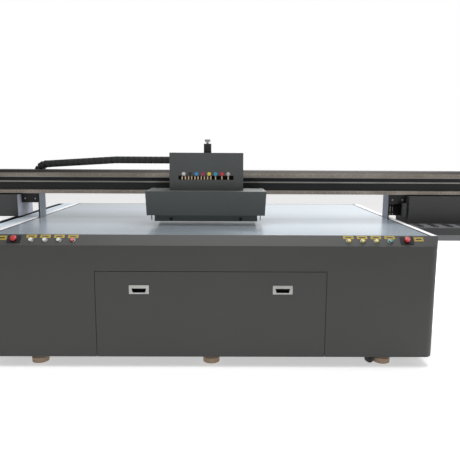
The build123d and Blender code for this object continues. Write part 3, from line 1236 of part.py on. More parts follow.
JET_STAND = 1.5  # how far the nozzle plates and lamp windows stand below the head plate
JET_COLLAR = 8.0
JET_TALL = 70.0
LAMP_TALL = 50.0
LAMP_MARGIN = 7.0
with BuildPart() as print_heads:
    with BuildSketch(Plane.XY.offset(head_low - JET_STAND)):
        with Locations((CARRIAGE_X, jet_y)):
            with GridLocations(HEAD_PITCH_X, HEAD_PITCH_Y, HEAD_COLUMNS, HEAD_ROWS):
                Rectangle(JET_WIDTH, JET_LENGTH)
    extrude(amount=head_floor - head_low + JET_STAND)
    with BuildSketch(Plane.XY.offset(head_floor)):
        with Locations((CARRIAGE_X, jet_y)):
            with GridLocations(HEAD_PITCH_X, HEAD_PITCH_Y, HEAD_COLUMNS, HEAD_ROWS):
                Rectangle(JET_WIDTH + 2 * JET_BLOCK_MARGIN, JET_LENGTH + 2 * JET_BLOCK_MARGIN)
    extrude(amount=JET_COLLAR)
    with BuildSketch(Plane.XY.offset(head_floor + JET_COLLAR)):
        with Locations((CARRIAGE_X, jet_y)):
            with GridLocations(HEAD_PITCH_X, HEAD_PITCH_Y, HEAD_COLUMNS, HEAD_ROWS):
                Rectangle(JET_WIDTH - 4, JET_LENGTH - 8)
    extrude(amount=JET_TALL)
print_heads.part.label = "print_heads"
export_step(print_heads.part, "parts/print_heads.step")

with BuildPart() as uv_lamps:
    with BuildSketch(Plane.XY.offset(head_low - JET_STAND)):
        with Locations((CARRIAGE_X, lamp_y)):
            with GridLocations(lamp_spread, 0, 2, 1):
                Rectangle(LAMP_WIDTH, LAMP_LENGTH)
    extrude(amount=head_floor - head_low + JET_STAND)
    with BuildSketch(Plane.XY.offset(head_floor)):
        with Locations((CARRIAGE_X, lamp_y)):
            with GridLocations(lamp_spread, 0, 2, 1):
                Rectangle(LAMP_WIDTH + 2 * LAMP_MARGIN, LAMP_LENGTH + 2 * LAMP_MARGIN)
    extrude(amount=LAMP_TALL)
uv_lamps.part.label = "uv_lamps"
export_step(uv_lamps.part, "parts/uv_lamps.step")

UPPER_BACK_GAP = 13.0  # lift plate to the back of the upper cover
COVER_LAND = 15.0  # rim of the lower cover that the upper cover stands on
BACK_WINDOW = (240.0, 150.0, 60.0)  # width, and top of the cover to the window's two ends
lower_cover_high = lower_cover_low + LOWER_HEIGHT
upper_back = lift_plate_front - UPPER_BACK_GAP
upper_half = UPPER_WIDTH / 2


def lower_cover_outline(inset, drop):
    """Front view of the lower cover: wider at the top than at the bottom."""
    top_half = LOWER_WIDTH / 2 - inset
    lean = LOWER_TAPER * (LOWER_HEIGHT + drop) / LOWER_HEIGHT
    with BuildSketch() as outline:
        with BuildLine():
            Polyline(
                (CARRIAGE_X - top_half, lower_cover_high - inset),
                (CARRIAGE_X + top_half, lower_cover_high - inset),
                (CARRIAGE_X + top_half - lean, lower_cover_low - drop),
                (CARRIAGE_X - top_half + lean, lower_cover_low - drop),
                close=True,
            )
        make_face()
    return outline.sketch_local


with BuildPart() as lower_cover:
    with BuildSketch(Plane.XZ.offset(-LOWER_FRONT)):
        add(lower_cover_outline(0, 0))
    extrude(amount=LOWER_FRONT - lift_plate_front)
    with BuildSketch(Plane.XZ.offset(-LOWER_FRONT - COVER_SHEET)):
        add(lower_cover_outline(COVER_SHEET, 1))
    extrude(amount=LOWER_FRONT - lift_plate_front + 2 * COVER_SHEET, mode=Mode.SUBTRACT)
    block(CARRIAGE_X - upper_half + COVER_LAND, CARRIAGE_X + upper_half - COVER_LAND, UPPER_FRONT + COVER_LAND,
          upper_back - COVER_LAND, lower_cover_high - COVER_SHEET - CUT, lower_cover_high + CUT,
          mode=Mode.SUBTRACT)
lower_cover.part.label = "lower_cover"
export_step(lower_cover.part, "parts/lower_cover.step")

LEVER_PITCH = 23.2
PAIR_COUNT = 5
SLOT_OFFSET = -3.0  # middle of the carriage to the middle of the slot
SLOT_DROP = 180.5  # top of the cover to the middle of the slot
SLOT_WIDTH = 402.0
SLOT_TALL = 30.0
slot_x = CARRIAGE_X + SLOT_OFFSET
slot_z = upper_top - SLOT_DROP
with BuildPart() as upper_cover:
    block(CARRIAGE_X - upper_half, CARRIAGE_X + upper_half, UPPER_FRONT, upper_back, lower_cover_high,
          upper_top)
    block(CARRIAGE_X - upper_half + COVER_SHEET, CARRIAGE_X + upper_half - COVER_SHEET,
          UPPER_FRONT + COVER_SHEET, upper_back - COVER_SHEET, lower_cover_high - 1,
          upper_top - COVER_SHEET, mode=Mode.SUBTRACT)
    block(slot_x - SLOT_WIDTH / 2, slot_x + SLOT_WIDTH / 2, UPPER_FRONT - 1, UPPER_FRONT + COVER_SHEET + 1,
          slot_z - SLOT_TALL / 2, slot_z + SLOT_TALL / 2, mode=Mode.SUBTRACT)
    block(CARRIAGE_X - BACK_WINDOW[0] / 2, CARRIAGE_X + BACK_WINDOW[0] / 2, upper_back - COVER_SHEET - CUT,
          upper_back + CUT, upper_top - BACK_WINDOW[1], upper_top - BACK_WINDOW[2], mode=Mode.SUBTRACT)
upper_cover.part.label = "upper_cover"
export_step(upper_cover.part, "parts/upper_cover.step")

# ---------------------------------------------------------------- ink valves

LEVER_WIDTH = 9.0
LEVER_TALL = 26.0
LEVER_PLATE = 4.0
HUB_RADIUS = 6.0
ROD_RADIUS = 2.5
HUB_BACK = 33.0  # cover face to the levers' axis
LEVER_GAP = 2.0  # inner face of the cover to the levers
ARM_WIDE = 6.0
ARM_TALL = 7.0
VALVE_BACK = (12.0, 40.0)  # levers' axis to the front and back of the valve block
VALVE_HALF_TALL = 25.0
LUG = (6.0, 8.0, 10.0)  # thickness, reach in front of the axis and half height
hub_y = UPPER_FRONT + HUB_BACK
lever_face = UPPER_FRONT + COVER_SHEET + LEVER_GAP
with BuildPart() as valve_block:
    block(CARRIAGE_X - upper_half + COVER_SHEET, CARRIAGE_X + upper_half - COVER_SHEET, hub_y + VALVE_BACK[0],
          hub_y + VALVE_BACK[1], slot_z - VALVE_HALF_TALL, slot_z + VALVE_HALF_TALL)
    rod((slot_x - SLOT_WIDTH / 2, hub_y, slot_z), (1, 0, 0), ROD_RADIUS, SLOT_WIDTH)
    for side in (-1, 1):
        lug_x = slot_x + side * (SLOT_WIDTH / 2)
        block(lug_x, lug_x - side * LUG[0], hub_y - LUG[1], hub_y + VALVE_BACK[0], slot_z - LUG[2], slot_z + LUG[2])
valve_block.part.label = "valve_block"
export_step(valve_block.part, "parts/valve_block.step")

first_colour_x = slot_x - 3.5 * 2 * LEVER_PITCH
colours = ["white", "black", "cyan", "magenta", "yellow", "light_cyan", "red", "varnish"]
for index, colour in enumerate(colours):
    middle_x = first_colour_x + index * 2 * LEVER_PITCH
    offsets = (-LEVER_PITCH / 2, LEVER_PITCH / 2) if index < PAIR_COUNT else (0.0,)
    with BuildPart() as valve_lever:
        for offset in offsets:
            x = middle_x + offset
            block(x - LEVER_WIDTH / 2, x + LEVER_WIDTH / 2, lever_face, lever_face + LEVER_PLATE,
                  slot_z - LEVER_TALL / 2, slot_z + LEVER_TALL / 2)
            block(x - ARM_WIDE / 2, x + ARM_WIDE / 2, lever_face + LEVER_PLATE, hub_y, slot_z - ARM_TALL / 2,
                  slot_z + ARM_TALL / 2)
            rod((x - LEVER_WIDTH / 2, hub_y, slot_z), (1, 0, 0), HUB_RADIUS, LEVER_WIDTH)
            rod((x - LEVER_WIDTH, hub_y, slot_z), (1, 0, 0), ROD_RADIUS + RUNNING, 2 * LEVER_WIDTH,
                mode=Mode.SUBTRACT)
    valve_lever.part.label = f"valve_lever_{colour}"
    export_step(valve_lever.part, f"parts/valve_lever_{colour}.step")
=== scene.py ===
# %% [markdown]
# # A flatbed UV printer
# The real machine is a steel cabinet that carries a flat vacuum table. A long beam rides over the table on
# two legs, and a print carriage runs along the beam. The imported model gives every large shape in metres, so
# this lesson adds the finishes, and the small pieces that are too fine for the frame: chain links, bolts,
# labels, colour marks, seals, and black strips of painted shade in the gaps.

# %% Load the frame
import math
import random

import bmesh
import bpy
from mathutils import Matrix, Vector


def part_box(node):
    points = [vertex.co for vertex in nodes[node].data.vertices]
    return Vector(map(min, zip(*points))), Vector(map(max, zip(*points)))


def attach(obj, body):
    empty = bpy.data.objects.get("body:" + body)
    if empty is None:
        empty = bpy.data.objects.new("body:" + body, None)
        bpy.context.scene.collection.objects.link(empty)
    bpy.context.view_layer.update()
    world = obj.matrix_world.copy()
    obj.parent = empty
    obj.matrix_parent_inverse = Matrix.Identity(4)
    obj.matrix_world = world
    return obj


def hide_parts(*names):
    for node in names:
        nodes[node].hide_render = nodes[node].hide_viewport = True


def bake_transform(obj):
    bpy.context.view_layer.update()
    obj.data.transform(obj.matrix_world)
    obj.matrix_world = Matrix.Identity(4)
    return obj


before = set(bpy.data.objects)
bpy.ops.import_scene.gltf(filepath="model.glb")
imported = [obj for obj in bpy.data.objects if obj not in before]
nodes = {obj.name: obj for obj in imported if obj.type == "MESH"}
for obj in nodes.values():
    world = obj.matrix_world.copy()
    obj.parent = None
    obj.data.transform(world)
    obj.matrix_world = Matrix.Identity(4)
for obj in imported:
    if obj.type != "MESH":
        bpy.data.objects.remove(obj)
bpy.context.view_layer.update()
scene = bpy.context.scene

# %% [markdown]
# ## Small tools
# Real finishes are bought by their look in daylight, which is what an sRGB hex code states, while a shader
# works in linear light. One function turns one into the other. A second one adds a node with its settings and
# links, so that a finish reads like a recipe.

# %% Colour and node helpers


def linear(code):
    """An sRGB hex code as linear red, green, blue and alpha."""
    channels = [int(code[i : i + 2], 16) / 255 for i in (1, 3, 5)]
    return tuple(c / 12.92 if c <= 0.04045 else ((c + 0.055) / 1.055) ** 2.4 for c in channels) + (1.0,)


def add(tree, kind, inputs=None, **settings):
    """A node with its settings. An input is a value, or the output of another node."""
    made = tree.nodes.new(kind)
    for key, value in settings.items():
        setattr(made, key, value)
    for key, value in (inputs or {}).items():
        if isinstance(value, bpy.types.NodeSocket):
            tree.links.new(value, made.inputs[key])
        else:
            made.inputs[key].default_value = value
    return made


def start_material(name):
    """A new material, its node tree, its one shader and the place on the surface in metres."""
    made = bpy.data.materials.new(name)
    made.use_nodes = True
    tree = made.node_tree
    shader = tree.nodes["Principled BSDF"]
    place = add(tree, "ShaderNodeTexCoord").outputs["Object"]
    return made, tree, shader, place


def per_mm(size):
    """The scale of a pattern whose features are this many millimetres across."""
    return 1000.0 / size


def within(tree, place, axis, low, high):
    """One where the distance from the middle plane of an axis is between two values in metres, else zero."""
    along = add(tree, "ShaderNodeSeparateXYZ", {0: place}).outputs[axis]
    away = add(tree, "ShaderNodeMath", {0: along}, operation="ABSOLUTE").outputs[0]
    band = {0: away, 1: (low + high) / 2, 2: (high - low) / 2}
    return add(tree, "ShaderNodeMath", band, operation="COMPARE").outputs[0]


# %% [markdown]
# ## Powder coat
# The cabinet, the boxes and the covers are folded steel sheet with a fine textured powder coat. The powder
# melts into a skin with tiny peaks, so it scatters light softly and has no mirror image. Its grain is about
# 0.4 mm, too fine to show from four metres, so it is drawn 3 mm coarse and shallow. A slow cloud of tone keeps
# large panels from looking like flat paper, and the folds turn paler: a painted highlight along every edge.
# A node of the frame may carry a patch of a second colour, given by where it lies. The patches used below are
# painted light and shade on faces that the lamps light differently.

# %% Powder coat recipe


def powder_coat(name, colour, edge_highlight, roughness, grain_mm=3.0, edge_mm=2.5, patches=()):
    made, tree, shader, place = start_material(name)
    base = add(tree, "ShaderNodeRGB").outputs[0]
    base.default_value = linear(colour)
    for axis, low, high, second in patches:
        base = add(tree, "ShaderNodeMix", {"Factor": within(tree, place, axis, low, high), "A": base,
                                           "B": linear(second)}, data_type="RGBA").outputs["Result"]
    cloud = add(tree, "ShaderNodeTexNoise", {"Vector": place, "Scale": per_mm(450), "Detail": 2.0})
    grain = add(tree, "ShaderNodeTexNoise", {"Vector": place, "Scale": per_mm(grain_mm), "Detail": 3.0})
    shade = add(tree, "ShaderNodeMapRange", {"Value": cloud.outputs["Fac"], "To Min": 0.9, "To Max": 1.1})
    speck = add(tree, "ShaderNodeMapRange", {"Value": grain.outputs["Fac"], "To Min": 0.9, "To Max": 1.1})
    tone = add(tree, "ShaderNodeMath", {0: shade.outputs[0], 1: speck.outputs[0]}, operation="MULTIPLY")
    toned = add(tree, "ShaderNodeVectorMath", {0: base, "Scale": tone.outputs[0]}, operation="SCALE")
    fold = add(tree, "ShaderNodeBevel", {"Radius": edge_mm / 1000}, samples=4)
    flat = add(tree, "ShaderNodeNewGeometry")
    match = add(tree, "ShaderNodeVectorMath", {0: fold.outputs[0], 1: flat.outputs["Normal"]},
                operation="DOT_PRODUCT")
    # Painted edge highlight: where the eased normal turns from the flat one, the colour goes paler.
    edge_highlight_mask = add(tree, "ShaderNodeMapRange", {"Value": match.outputs["Value"], "From Min": 0.99,
                                           "From Max": 0.8, "To Min": 0.0, "To Max": 0.55})
    mixed = add(tree, "ShaderNodeMix", {"Factor": edge_highlight_mask.outputs[0], "A": toned.outputs[0], "B": linear(edge_highlight)},
                data_type="RGBA")
    tree.links.new(mixed.outputs["Result"], shader.inputs["Base Color"])
    gloss = add(tree, "ShaderNodeMapRange", {"Value": grain.outputs["Fac"], "To Min": roughness - 0.06,
                                             "To Max": roughness + 0.06})
    tree.links.new(gloss.outputs[0], shader.inputs["Roughness"])
    bump = add(tree, "ShaderNodeBump", {"Height": grain.outputs["Fac"], "Strength": 0.12,
                                        "Distance": 0.0004, "Normal": fold.outputs[0]})
    tree.links.new(bump.outputs[0], shader.inputs["Normal"])
    shader.inputs["IOR"].default_value = 1.5
    return made


cabinet_coat = powder_coat("powder_coat_graphite", "#393938", "#6f6f6d", 0.5)
cover_coat = powder_coat("powder_coat_slate", "#484b4b", "#6e6c6a", 0.46)
# The patch paints the inner side of the left end box pale: painted light, as from the right.
left_box_coat = powder_coat("powder_coat_left_box", "#3d3d3e", "#77787a", 0.48,
                            patches=[("X", 1.30, 1.5415, "#a9abb8")])
# Both patches are painted highlights: a pale band on the top of the tray ledge and on its sloping lip.
right_box_coat = powder_coat("powder_coat_right_box", "#3d3d3e", "#77787a", 0.48,
                             patches=[("Z", 0.8300, 0.8365, "#707173"), ("Y", 0.3853, 0.41, "#77787a")])
black_coat = powder_coat("powder_coat_black", "#131314", "#2e2e30", 0.42)
# The patch paints the inner faces of the black legs pale grey: a painted reflection of the bright room.
leg_coat = powder_coat("powder_coat_legs", "#131314", "#2e2e30", 0.42,
                       patches=[("X", 1.20, 1.3995, "#7f8492")])
# The patch paints a thin pale band on the top of the chain channel: painted light on its top face.
channel_coat = powder_coat("powder_coat_channel", "#3d3d3e", "#6c6d6f", 0.48,
                           patches=[("Z", 0.8650, 0.8670, "#b4bec6")])
frame_coat = powder_coat("powder_coat_frame", "#3b3e42", "#6c6f73", 0.5)
light_coat = powder_coat("powder_coat_light_grey", "#b9bcbb", "#dfe1e0", 0.5)
print("powder coats made")

# %% [markdown]
# ## Metals
# The beam is extruded aluminium with a clear anodised skin, drawn out along X, so its fine die lines run the
# same way. The rails are ground steel with a faint oil film that turns them warm. Bolts and stems are zinc
# plated. All are metals with the default IOR, and they differ in colour, in roughness and in the direction of
# their lines.

# %% Drawn and ground metal recipe


def lined_metal(name, dark, pale, roughness, line_mm, stretch, lines=0.12, turn=(1, 1, 1), patch=None):
    """Metal with lines of one width, stretched along the axes whose turn is below 1, and one dark patch."""
    made, tree, shader, place = start_material(name)
    along = add(tree, "ShaderNodeMapping", {"Vector": place, "Scale": [t if t == 1 else stretch for t in turn]})
    fine = add(tree, "ShaderNodeTexNoise", {"Vector": along.outputs[0], "Scale": per_mm(line_mm), "Detail": 4.0})
    cloud = add(tree, "ShaderNodeTexNoise", {"Vector": place, "Scale": per_mm(220), "Detail": 2.0})
    blend = add(tree, "ShaderNodeMath", {0: fine.outputs["Fac"], 1: cloud.outputs["Fac"]}, operation="ADD")
    spread = add(tree, "ShaderNodeMapRange", {"Value": blend.outputs[0], "From Min": 0.7, "From Max": 1.3})
    mixed = add(tree, "ShaderNodeMix", {"Factor": spread.outputs[0], "A": linear(dark), "B": linear(pale)},
                data_type="RGBA")
    if patch:
        axis, low, high, second = patch
        mixed = add(tree, "ShaderNodeMix", {"Factor": within(tree, place, axis, low, high),
                                            "A": mixed.outputs["Result"], "B": linear(second)}, data_type="RGBA")
    tree.links.new(mixed.outputs["Result"], shader.inputs["Base Color"])
    gloss = add(tree, "ShaderNodeMapRange", {"Value": fine.outputs["Fac"], "To Min": roughness - 0.08,
                                             "To Max": roughness + 0.08})
    tree.links.new(gloss.outputs[0], shader.inputs["Roughness"])
    bump = add(tree, "ShaderNodeBump", {"Height": fine.outputs["Fac"], "Strength": lines, "Distance": 0.0002})
    tree.links.new(bump.outputs[0], shader.inputs["Normal"])
    shader.inputs["Metallic"].default_value = 1.0
    return made


# The dark patch on the beam's top strip is painted shade, keeping it dark where it would mirror the overhead softbox.
beam_metal = lined_metal("anodised_aluminium_extrusion", "#8f8e89", "#a9a8a3", 0.38, 2.5, 0.02,
                         turn=(0.5, 1, 1), patch=("Z", 1.2262, 1.30, "#413f3d"))
rail_metal = lined_metal("ground_rail_steel", "#8b8278", "#aaa197", 0.3, 2.0, 0.02, turn=(0.5, 1, 1))
long_metal = lined_metal("ground_screw_steel", "#9b9b9c", "#bdbdbe", 0.28, 2.0, 0.02, turn=(1, 0.5, 1))
zinc_metal = lined_metal("zinc_plated_steel", "#a5a6a6", "#cfd0d0", 0.33, 3.0, 1.0)
pull_metal = lined_metal("satin_zinc_pulls", "#8f8f8c", "#b3b3b0", 0.36, 3.0, 1.0,
                         patch=("Y", 0.90, 1.0392, "#0d0d0e"))
block_metal = lined_metal("machined_steel_blocks", "#7f8082", "#9c9d9f", 0.36, 2.0, 0.05, turn=(1, 0.5, 1))
lamp_metal = lined_metal("anodised_lamp_housing", "#56575a", "#6d6e71", 0.42, 2.0, 0.05, turn=(1, 0.5, 1))
print("metals made")

# %% [markdown]
# ## The vacuum table
# The table is a flat aluminium plate with a hard anodised skin. It is drilled with small suction holes on a
# square grid, and thin grooves part it into zones that can be shut off. The skin is smooth but not polished,
# so a dark beam over it leaves a soft dark image. The real holes are 2 mm wide. They are drawn at 3 mm, which
# is as fine as still shows, as dark dots of painted shade for the inside of each hole. The two strips beside
# the table belong to the same node, but they are steel with white enamel, so they get their own colour, and
# lose the metal look.

# %% Table finish


def anodised_table():
    made, tree, shader, place = start_material("hard_anodised_table")
    pitch, hole = 0.030, 0.0015
    cell = add(tree, "ShaderNodeVectorMath", {0: place, 1: (pitch, pitch, pitch)}, operation="MODULO")
    near = add(tree, "ShaderNodeVectorMath", {0: cell.outputs[0]}, operation="ABSOLUTE")
    off = add(tree, "ShaderNodeVectorMath", {0: near.outputs[0], 1: (pitch / 2, pitch / 2, 0)},
              operation="SUBTRACT")
    flat = add(tree, "ShaderNodeVectorMath", {0: off.outputs[0], 1: (1, 1, 0)}, operation="MULTIPLY")
    far = add(tree, "ShaderNodeVectorMath", {0: flat.outputs[0]}, operation="LENGTH")
    # Each hole is a dark dot: painted shade for the inside of the hole.
    hole_shade = add(tree, "ShaderNodeMath", {0: far.outputs["Value"], 1: hole}, operation="LESS_THAN")
    cloud = add(tree, "ShaderNodeTexNoise", {"Vector": place, "Scale": per_mm(600), "Detail": 3.0})
    grain = add(tree, "ShaderNodeTexNoise", {"Vector": place, "Scale": per_mm(4), "Detail": 4.0})
    skin = add(tree, "ShaderNodeMix", {"Factor": cloud.outputs["Fac"], "A": linear("#a9b6c0"),
                                       "B": linear("#bbc5cd")}, data_type="RGBA")
    skin_with_hole_shade = add(tree, "ShaderNodeMix", {"Factor": hole_shade.outputs[0], "A": skin.outputs["Result"],
                                         "B": linear("#3c4248")}, data_type="RGBA")
    strip = within(tree, place, "X", 1.4105, 1.50)
    final = add(tree, "ShaderNodeMix", {"Factor": strip, "A": skin_with_hole_shade.outputs["Result"],
                                        "B": linear("#f3f3f5")}, data_type="RGBA")
    tree.links.new(final.outputs["Result"], shader.inputs["Base Color"])
    metal = add(tree, "ShaderNodeMapRange", {"Value": strip, "To Min": 0.55, "To Max": 0.0})
    tree.links.new(metal.outputs[0], shader.inputs["Metallic"])
    gloss = add(tree, "ShaderNodeMapRange", {"Value": grain.outputs["Fac"], "To Min": 0.19, "To Max": 0.28})
    tree.links.new(gloss.outputs[0], shader.inputs["Roughness"])
    bump = add(tree, "ShaderNodeBump", {"Height": grain.outputs["Fac"], "Strength": 0.05, "Distance": 0.0002})
    tree.links.new(bump.outputs[0], shader.inputs["Normal"])
    return made


table_metal = anodised_table()
print("table finish made")

# %% [markdown]
# ## Moulded plastics, rubber and epoxy
# The buttons are glossy moulded polycarbonate, the chain is dull glass filled nylon, and
# the ink tanks are blow moulded polyethylene, which lets a little light in. Each shows faint flow marks and a
# fine skin in place of metal lines.

# %% Plastic recipe


def moulded(name, colour, roughness, ior=1.5, skin_mm=2.0, skin=0.08, coat=0.0, subsurface=0.0, vary=0.08):
    made, tree, shader, place = start_material(name)
    flow = add(tree, "ShaderNodeTexNoise", {"Vector": place, "Scale": per_mm(40), "Detail": 3.0})
    fine = add(tree, "ShaderNodeTexNoise", {"Vector": place, "Scale": per_mm(skin_mm), "Detail": 3.0})
    shade = add(tree, "ShaderNodeMapRange", {"Value": flow.outputs["Fac"], "To Min": 1 - vary,
                                             "To Max": 1 + vary})
    toned = add(tree, "ShaderNodeVectorMath", {0: linear(colour)[:3], "Scale": shade.outputs[0]},
                operation="SCALE")
    tree.links.new(toned.outputs[0], shader.inputs["Base Color"])
    gloss = add(tree, "ShaderNodeMapRange", {"Value": fine.outputs["Fac"], "To Min": max(roughness - 0.05, 0.02),
                                             "To Max": roughness + 0.05})
    tree.links.new(gloss.outputs[0], shader.inputs["Roughness"])
    bump = add(tree, "ShaderNodeBump", {"Height": fine.outputs["Fac"], "Strength": skin, "Distance": 0.0003})
    tree.links.new(bump.outputs[0], shader.inputs["Normal"])
    shader.inputs["IOR"].default_value = ior
    shader.inputs["Coat Weight"].default_value = coat
    shader.inputs["Subsurface Weight"].default_value = subsurface
    shader.inputs["Subsurface Scale"].default_value = 0.004
    return made


chain_nylon = moulded("glass_filled_nylon", "#242527", 0.45, 1.53, 3.0, 0.2)
wheel_nylon = moulded("nylon_tread", "#1f1f20", 0.5, 1.53)
tank_plastic = moulded("blow_moulded_polyethylene", "#e6e6e0", 0.4, 1.51, 6.0, 0.2, subsurface=0.3)
switch_plastic = moulded("black_polyamide_switches", "#0e0e0f", 0.65, 1.45)
head_plastic = moulded("print_head_resin", "#2c2c30", 0.4, 1.55)
lever_plastic = moulded("tan_acetal_levers", "#cdb598", 0.35, 1.48)
motor_enamel = moulded("black_motor_enamel", "#242628", 0.3, 1.5, coat=0.3)
blower_enamel = moulded("grey_cast_enamel", "#8d9193", 0.45, 1.5, 5.0, 0.3)
magnet_epoxy = moulded("epoxy_magnet_covers", "#0f1012", 0.6, 1.5, 5.0, 0.1)
rubber_and_gap_shade = moulded("black_rubber_and_gap_shade", "#0d0d0e", 0.7, 1.52)
print("plastics made")

# %% [markdown]
# ## Button colours
# Push buttons and emergency stops are cast in coloured polycarbonate with a clear, glossy skin. The colours
# follow what each button does: red stops, green starts, amber moves an axis, pearl serves the table.

# %% Button finishes
button_red = moulded("polycarbonate_red", "#b0121d", 0.18, 1.58, coat=0.4)
button_green = moulded("polycarbonate_green", "#1f7f72", 0.2, 1.58, coat=0.4)
button_pearl = moulded("polycarbonate_pearl", "#bfc3b9", 0.2, 1.58, coat=0.4)
button_amber = moulded("polycarbonate_amber", "#c4b44c", 0.2, 1.58, coat=0.4)
label_vinyl = moulded("yellow_label_vinyl", "#a8902a", 0.4, 1.5)
label_ink = moulded("black_label_ink", "#26241c", 0.45, 1.5)
print("button colours made")

# %% [markdown]
# ## Levelling feet
# One frame node holds the rubber pads, the zinc plated stems and the black caster arms, so its finish changes
# with height: rubber below the stem plate, and zinc above it, the plates at the top included.

# %% Two finishes in one node


def feet_finish():
    made, tree, shader, place = start_material("rubber_pads_and_zinc_stems")
    height = add(tree, "ShaderNodeSeparateXYZ", {0: place}).outputs["Z"]
    above_pad = add(tree, "ShaderNodeMath", {0: height, 1: 0.0441}, operation="GREATER_THAN").outputs[0]
    fine = add(tree, "ShaderNodeTexNoise", {"Vector": place, "Scale": per_mm(4), "Detail": 3.0})
    rubber = add(tree, "ShaderNodeMix", {"Factor": fine.outputs["Fac"], "A": linear("#a8917a"),
                                         "B": linear("#c4ad95")}, data_type="RGBA")
    steel = add(tree, "ShaderNodeMix", {"Factor": fine.outputs["Fac"], "A": linear("#5c5d5f"),
                                        "B": linear("#77787a")}, data_type="RGBA")
    mixed = add(tree, "ShaderNodeMix", {"Factor": above_pad, "A": rubber.outputs["Result"],
                                        "B": steel.outputs["Result"]}, data_type="RGBA")
    tree.links.new(mixed.outputs["Result"], shader.inputs["Base Color"])
    tree.links.new(above_pad, shader.inputs["Metallic"])
    gloss = add(tree, "ShaderNodeMapRange", {"Value": above_pad, "To Min": 0.75, "To Max": 0.4})
    tree.links.new(gloss.outputs[0], shader.inputs["Roughness"])
    bump = add(tree, "ShaderNodeBump", {"Height": fine.outputs["Fac"], "Strength": 0.2, "Distance": 0.0004})
    tree.links.new(bump.outputs[0], shader.inputs["Normal"])
    return made


feet_mix = feet_finish()
print("feet finish made")

# %% [markdown]
# ## Dress the frame
# Each node of the frame already has its true shape, so it only needs its finish. Flat shading would show the
# facets of round parts, so faces are smoothed by angle.

# %% Give every node its finish
finish_of = {
    "base_frame": frame_coat, "front_cover": cabinet_coat, "side_cover_left": cabinet_coat,
    "side_cover_right": cabinet_coat, "rear_cover": cabinet_coat, "vacuum_table": table_metal,
    "y_rails": long_metal, "y_drives": motor_enamel, "electrics_cabinet": light_coat,
    "vacuum_blowers": blower_enamel, "levelling_feet": feet_mix, "switch_plates": switch_plastic,
    "y_chain_tray": channel_coat, "beam": beam_metal, "beam_rails": rail_metal, "magnet_track": magnet_epoxy,
    "gantry_legs": leg_coat, "y_bearing_blocks": block_metal, "end_box_left": left_box_coat,
    "end_box_right": right_box_coat, "ink_tanks": tank_plastic, "chain_trough": black_coat,
    "slider_plate": black_coat, "z_motor": motor_enamel, "upper_cover": cover_coat, "lower_cover": cover_coat,
    "head_plate": cover_coat, "print_heads": head_plastic, "uv_lamps": lamp_metal, "valve_block": switch_plastic,
    "lift_screw": zinc_metal, "y_screw_left": long_metal, "y_screw_right": long_metal,
    "door_panel": cabinet_coat, "door_pulls": pull_metal, "button_power_off": button_red,
    "button_start": button_green, "estop_left": button_red, "estop_right": button_red,
}
for name in nodes:
    if name.startswith("button_"):
        pearl = name in ("button_vacuum_on", "button_vacuum_off", "button_lamp_on")
        finish_of.setdefault(name, button_pearl if pearl else button_amber)
    elif name.startswith("caster_arm"):
        finish_of[name] = black_coat
    elif name.startswith("caster_wheel"):
        finish_of[name] = wheel_nylon
    elif name.startswith("valve_lever"):
        finish_of[name] = lever_plastic
for name, node in nodes.items():
    if name == "cable_chain":
        continue
    node.data.materials.clear()
    node.data.materials.append(finish_of[name])
    node.data.polygons.foreach_set("use_smooth", [True] * len(node.data.polygons))
    node.data.set_sharp_from_angle(angle=math.radians(30))
print("finishes given to", len(finish_of), "nodes")

# %% [markdown]
# ## Shapes made in code
# Small pieces are turned or cut from sheet on the real machine. A lathe function spins a profile, a block
# function makes a box with eased edges, and one more turns the finished mesh into a piece that rides on a body.

# %% Mesh helpers
X_AXIS, Y_AXIS, Z_AXIS = Vector((1, 0, 0)), Vector((0, 1, 0)), Vector((0, 0, 1))


def lathe(bm, profile, place, segments=16):
    """Spins (radius, height) pairs round the local Z of place, and closes both ends."""
    rings = []
    for radius, height in profile:
        ring = []
        for k in range(segments):
            angle = 2 * math.pi * k / segments
            ring.append(bm.verts.new(place @ Vector((radius * math.cos(angle), radius * math.sin(angle), height))))
        rings.append(ring)
    for low, high in zip(rings, rings[1:]):
        for k in range(segments):
            bm.faces.new((low[k], low[(k + 1) % segments], high[(k + 1) % segments], high[k]))
    bm.faces.new(reversed(rings[0]))
    bm.faces.new(rings[-1])


def eased_block(bm, low, high, ease=0.001, place=None):
    """A box between two corners, with its edges eased."""
    low, high = Vector(low), Vector(high)
    move = (place or Matrix.Identity(4)) @ Matrix.Translation((low + high) / 2)
    size = Matrix.Diagonal((*(high - low), 1.0))
    made = bmesh.ops.create_cube(bm, size=1.0, matrix=move @ size)
    edges = list({edge for vert in made["verts"] for edge in vert.link_edges})
    bmesh.ops.bevel(bm, geom=edges, offset=ease, segments=2, affect="EDGES", clamp_overlap=True)


def piece(name, bm, material, body=None):
    """A mesh object in the row frame, that rides on a body."""
    bmesh.ops.recalc_face_normals(bm, faces=bm.faces)
    mesh = bpy.data.meshes.new(name)
    bm.to_mesh(mesh)
    bm.free()
    mesh.materials.append(material)
    mesh.polygons.foreach_set("use_smooth", [True] * len(mesh.polygons))
    mesh.set_sharp_from_angle(angle=math.radians(35))
    made = bpy.data.objects.new(name, mesh)
    scene.collection.objects.link(made)
    if body:
        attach(made, body)
    return made


def facing(point, normal, up=Z_AXIS):
    """A place whose local Z points along normal."""
    z = Vector(normal).normalized()
    x = up.cross(z)
    x = x.normalized() if x.length > 1e-6 else X_AXIS
    y = z.cross(x)
    turn = Matrix((x, y, z)).transposed().to_4x4()
    return Matrix.Translation(point) @ turn


def screws(name, body, points, normal, radius=0.005, flat=1.0):
    """Button head screws with a socket, all in one piece. A flat below 1 gives a countersunk look."""
    bm = bmesh.new()
    profile = [(1.0, -0.1), (1.0, 0.06), (0.94, 0.3), (0.7, 0.52), (0.45, 0.58), (0.42, 0.3), (0.02, 0.28)]
    for point in points:
        lathe(bm, [(r * radius, h * radius * flat) for r, h in profile], facing(point, normal), 12)
    return piece(name, bm, zinc_metal, body)


print("mesh helpers ready")
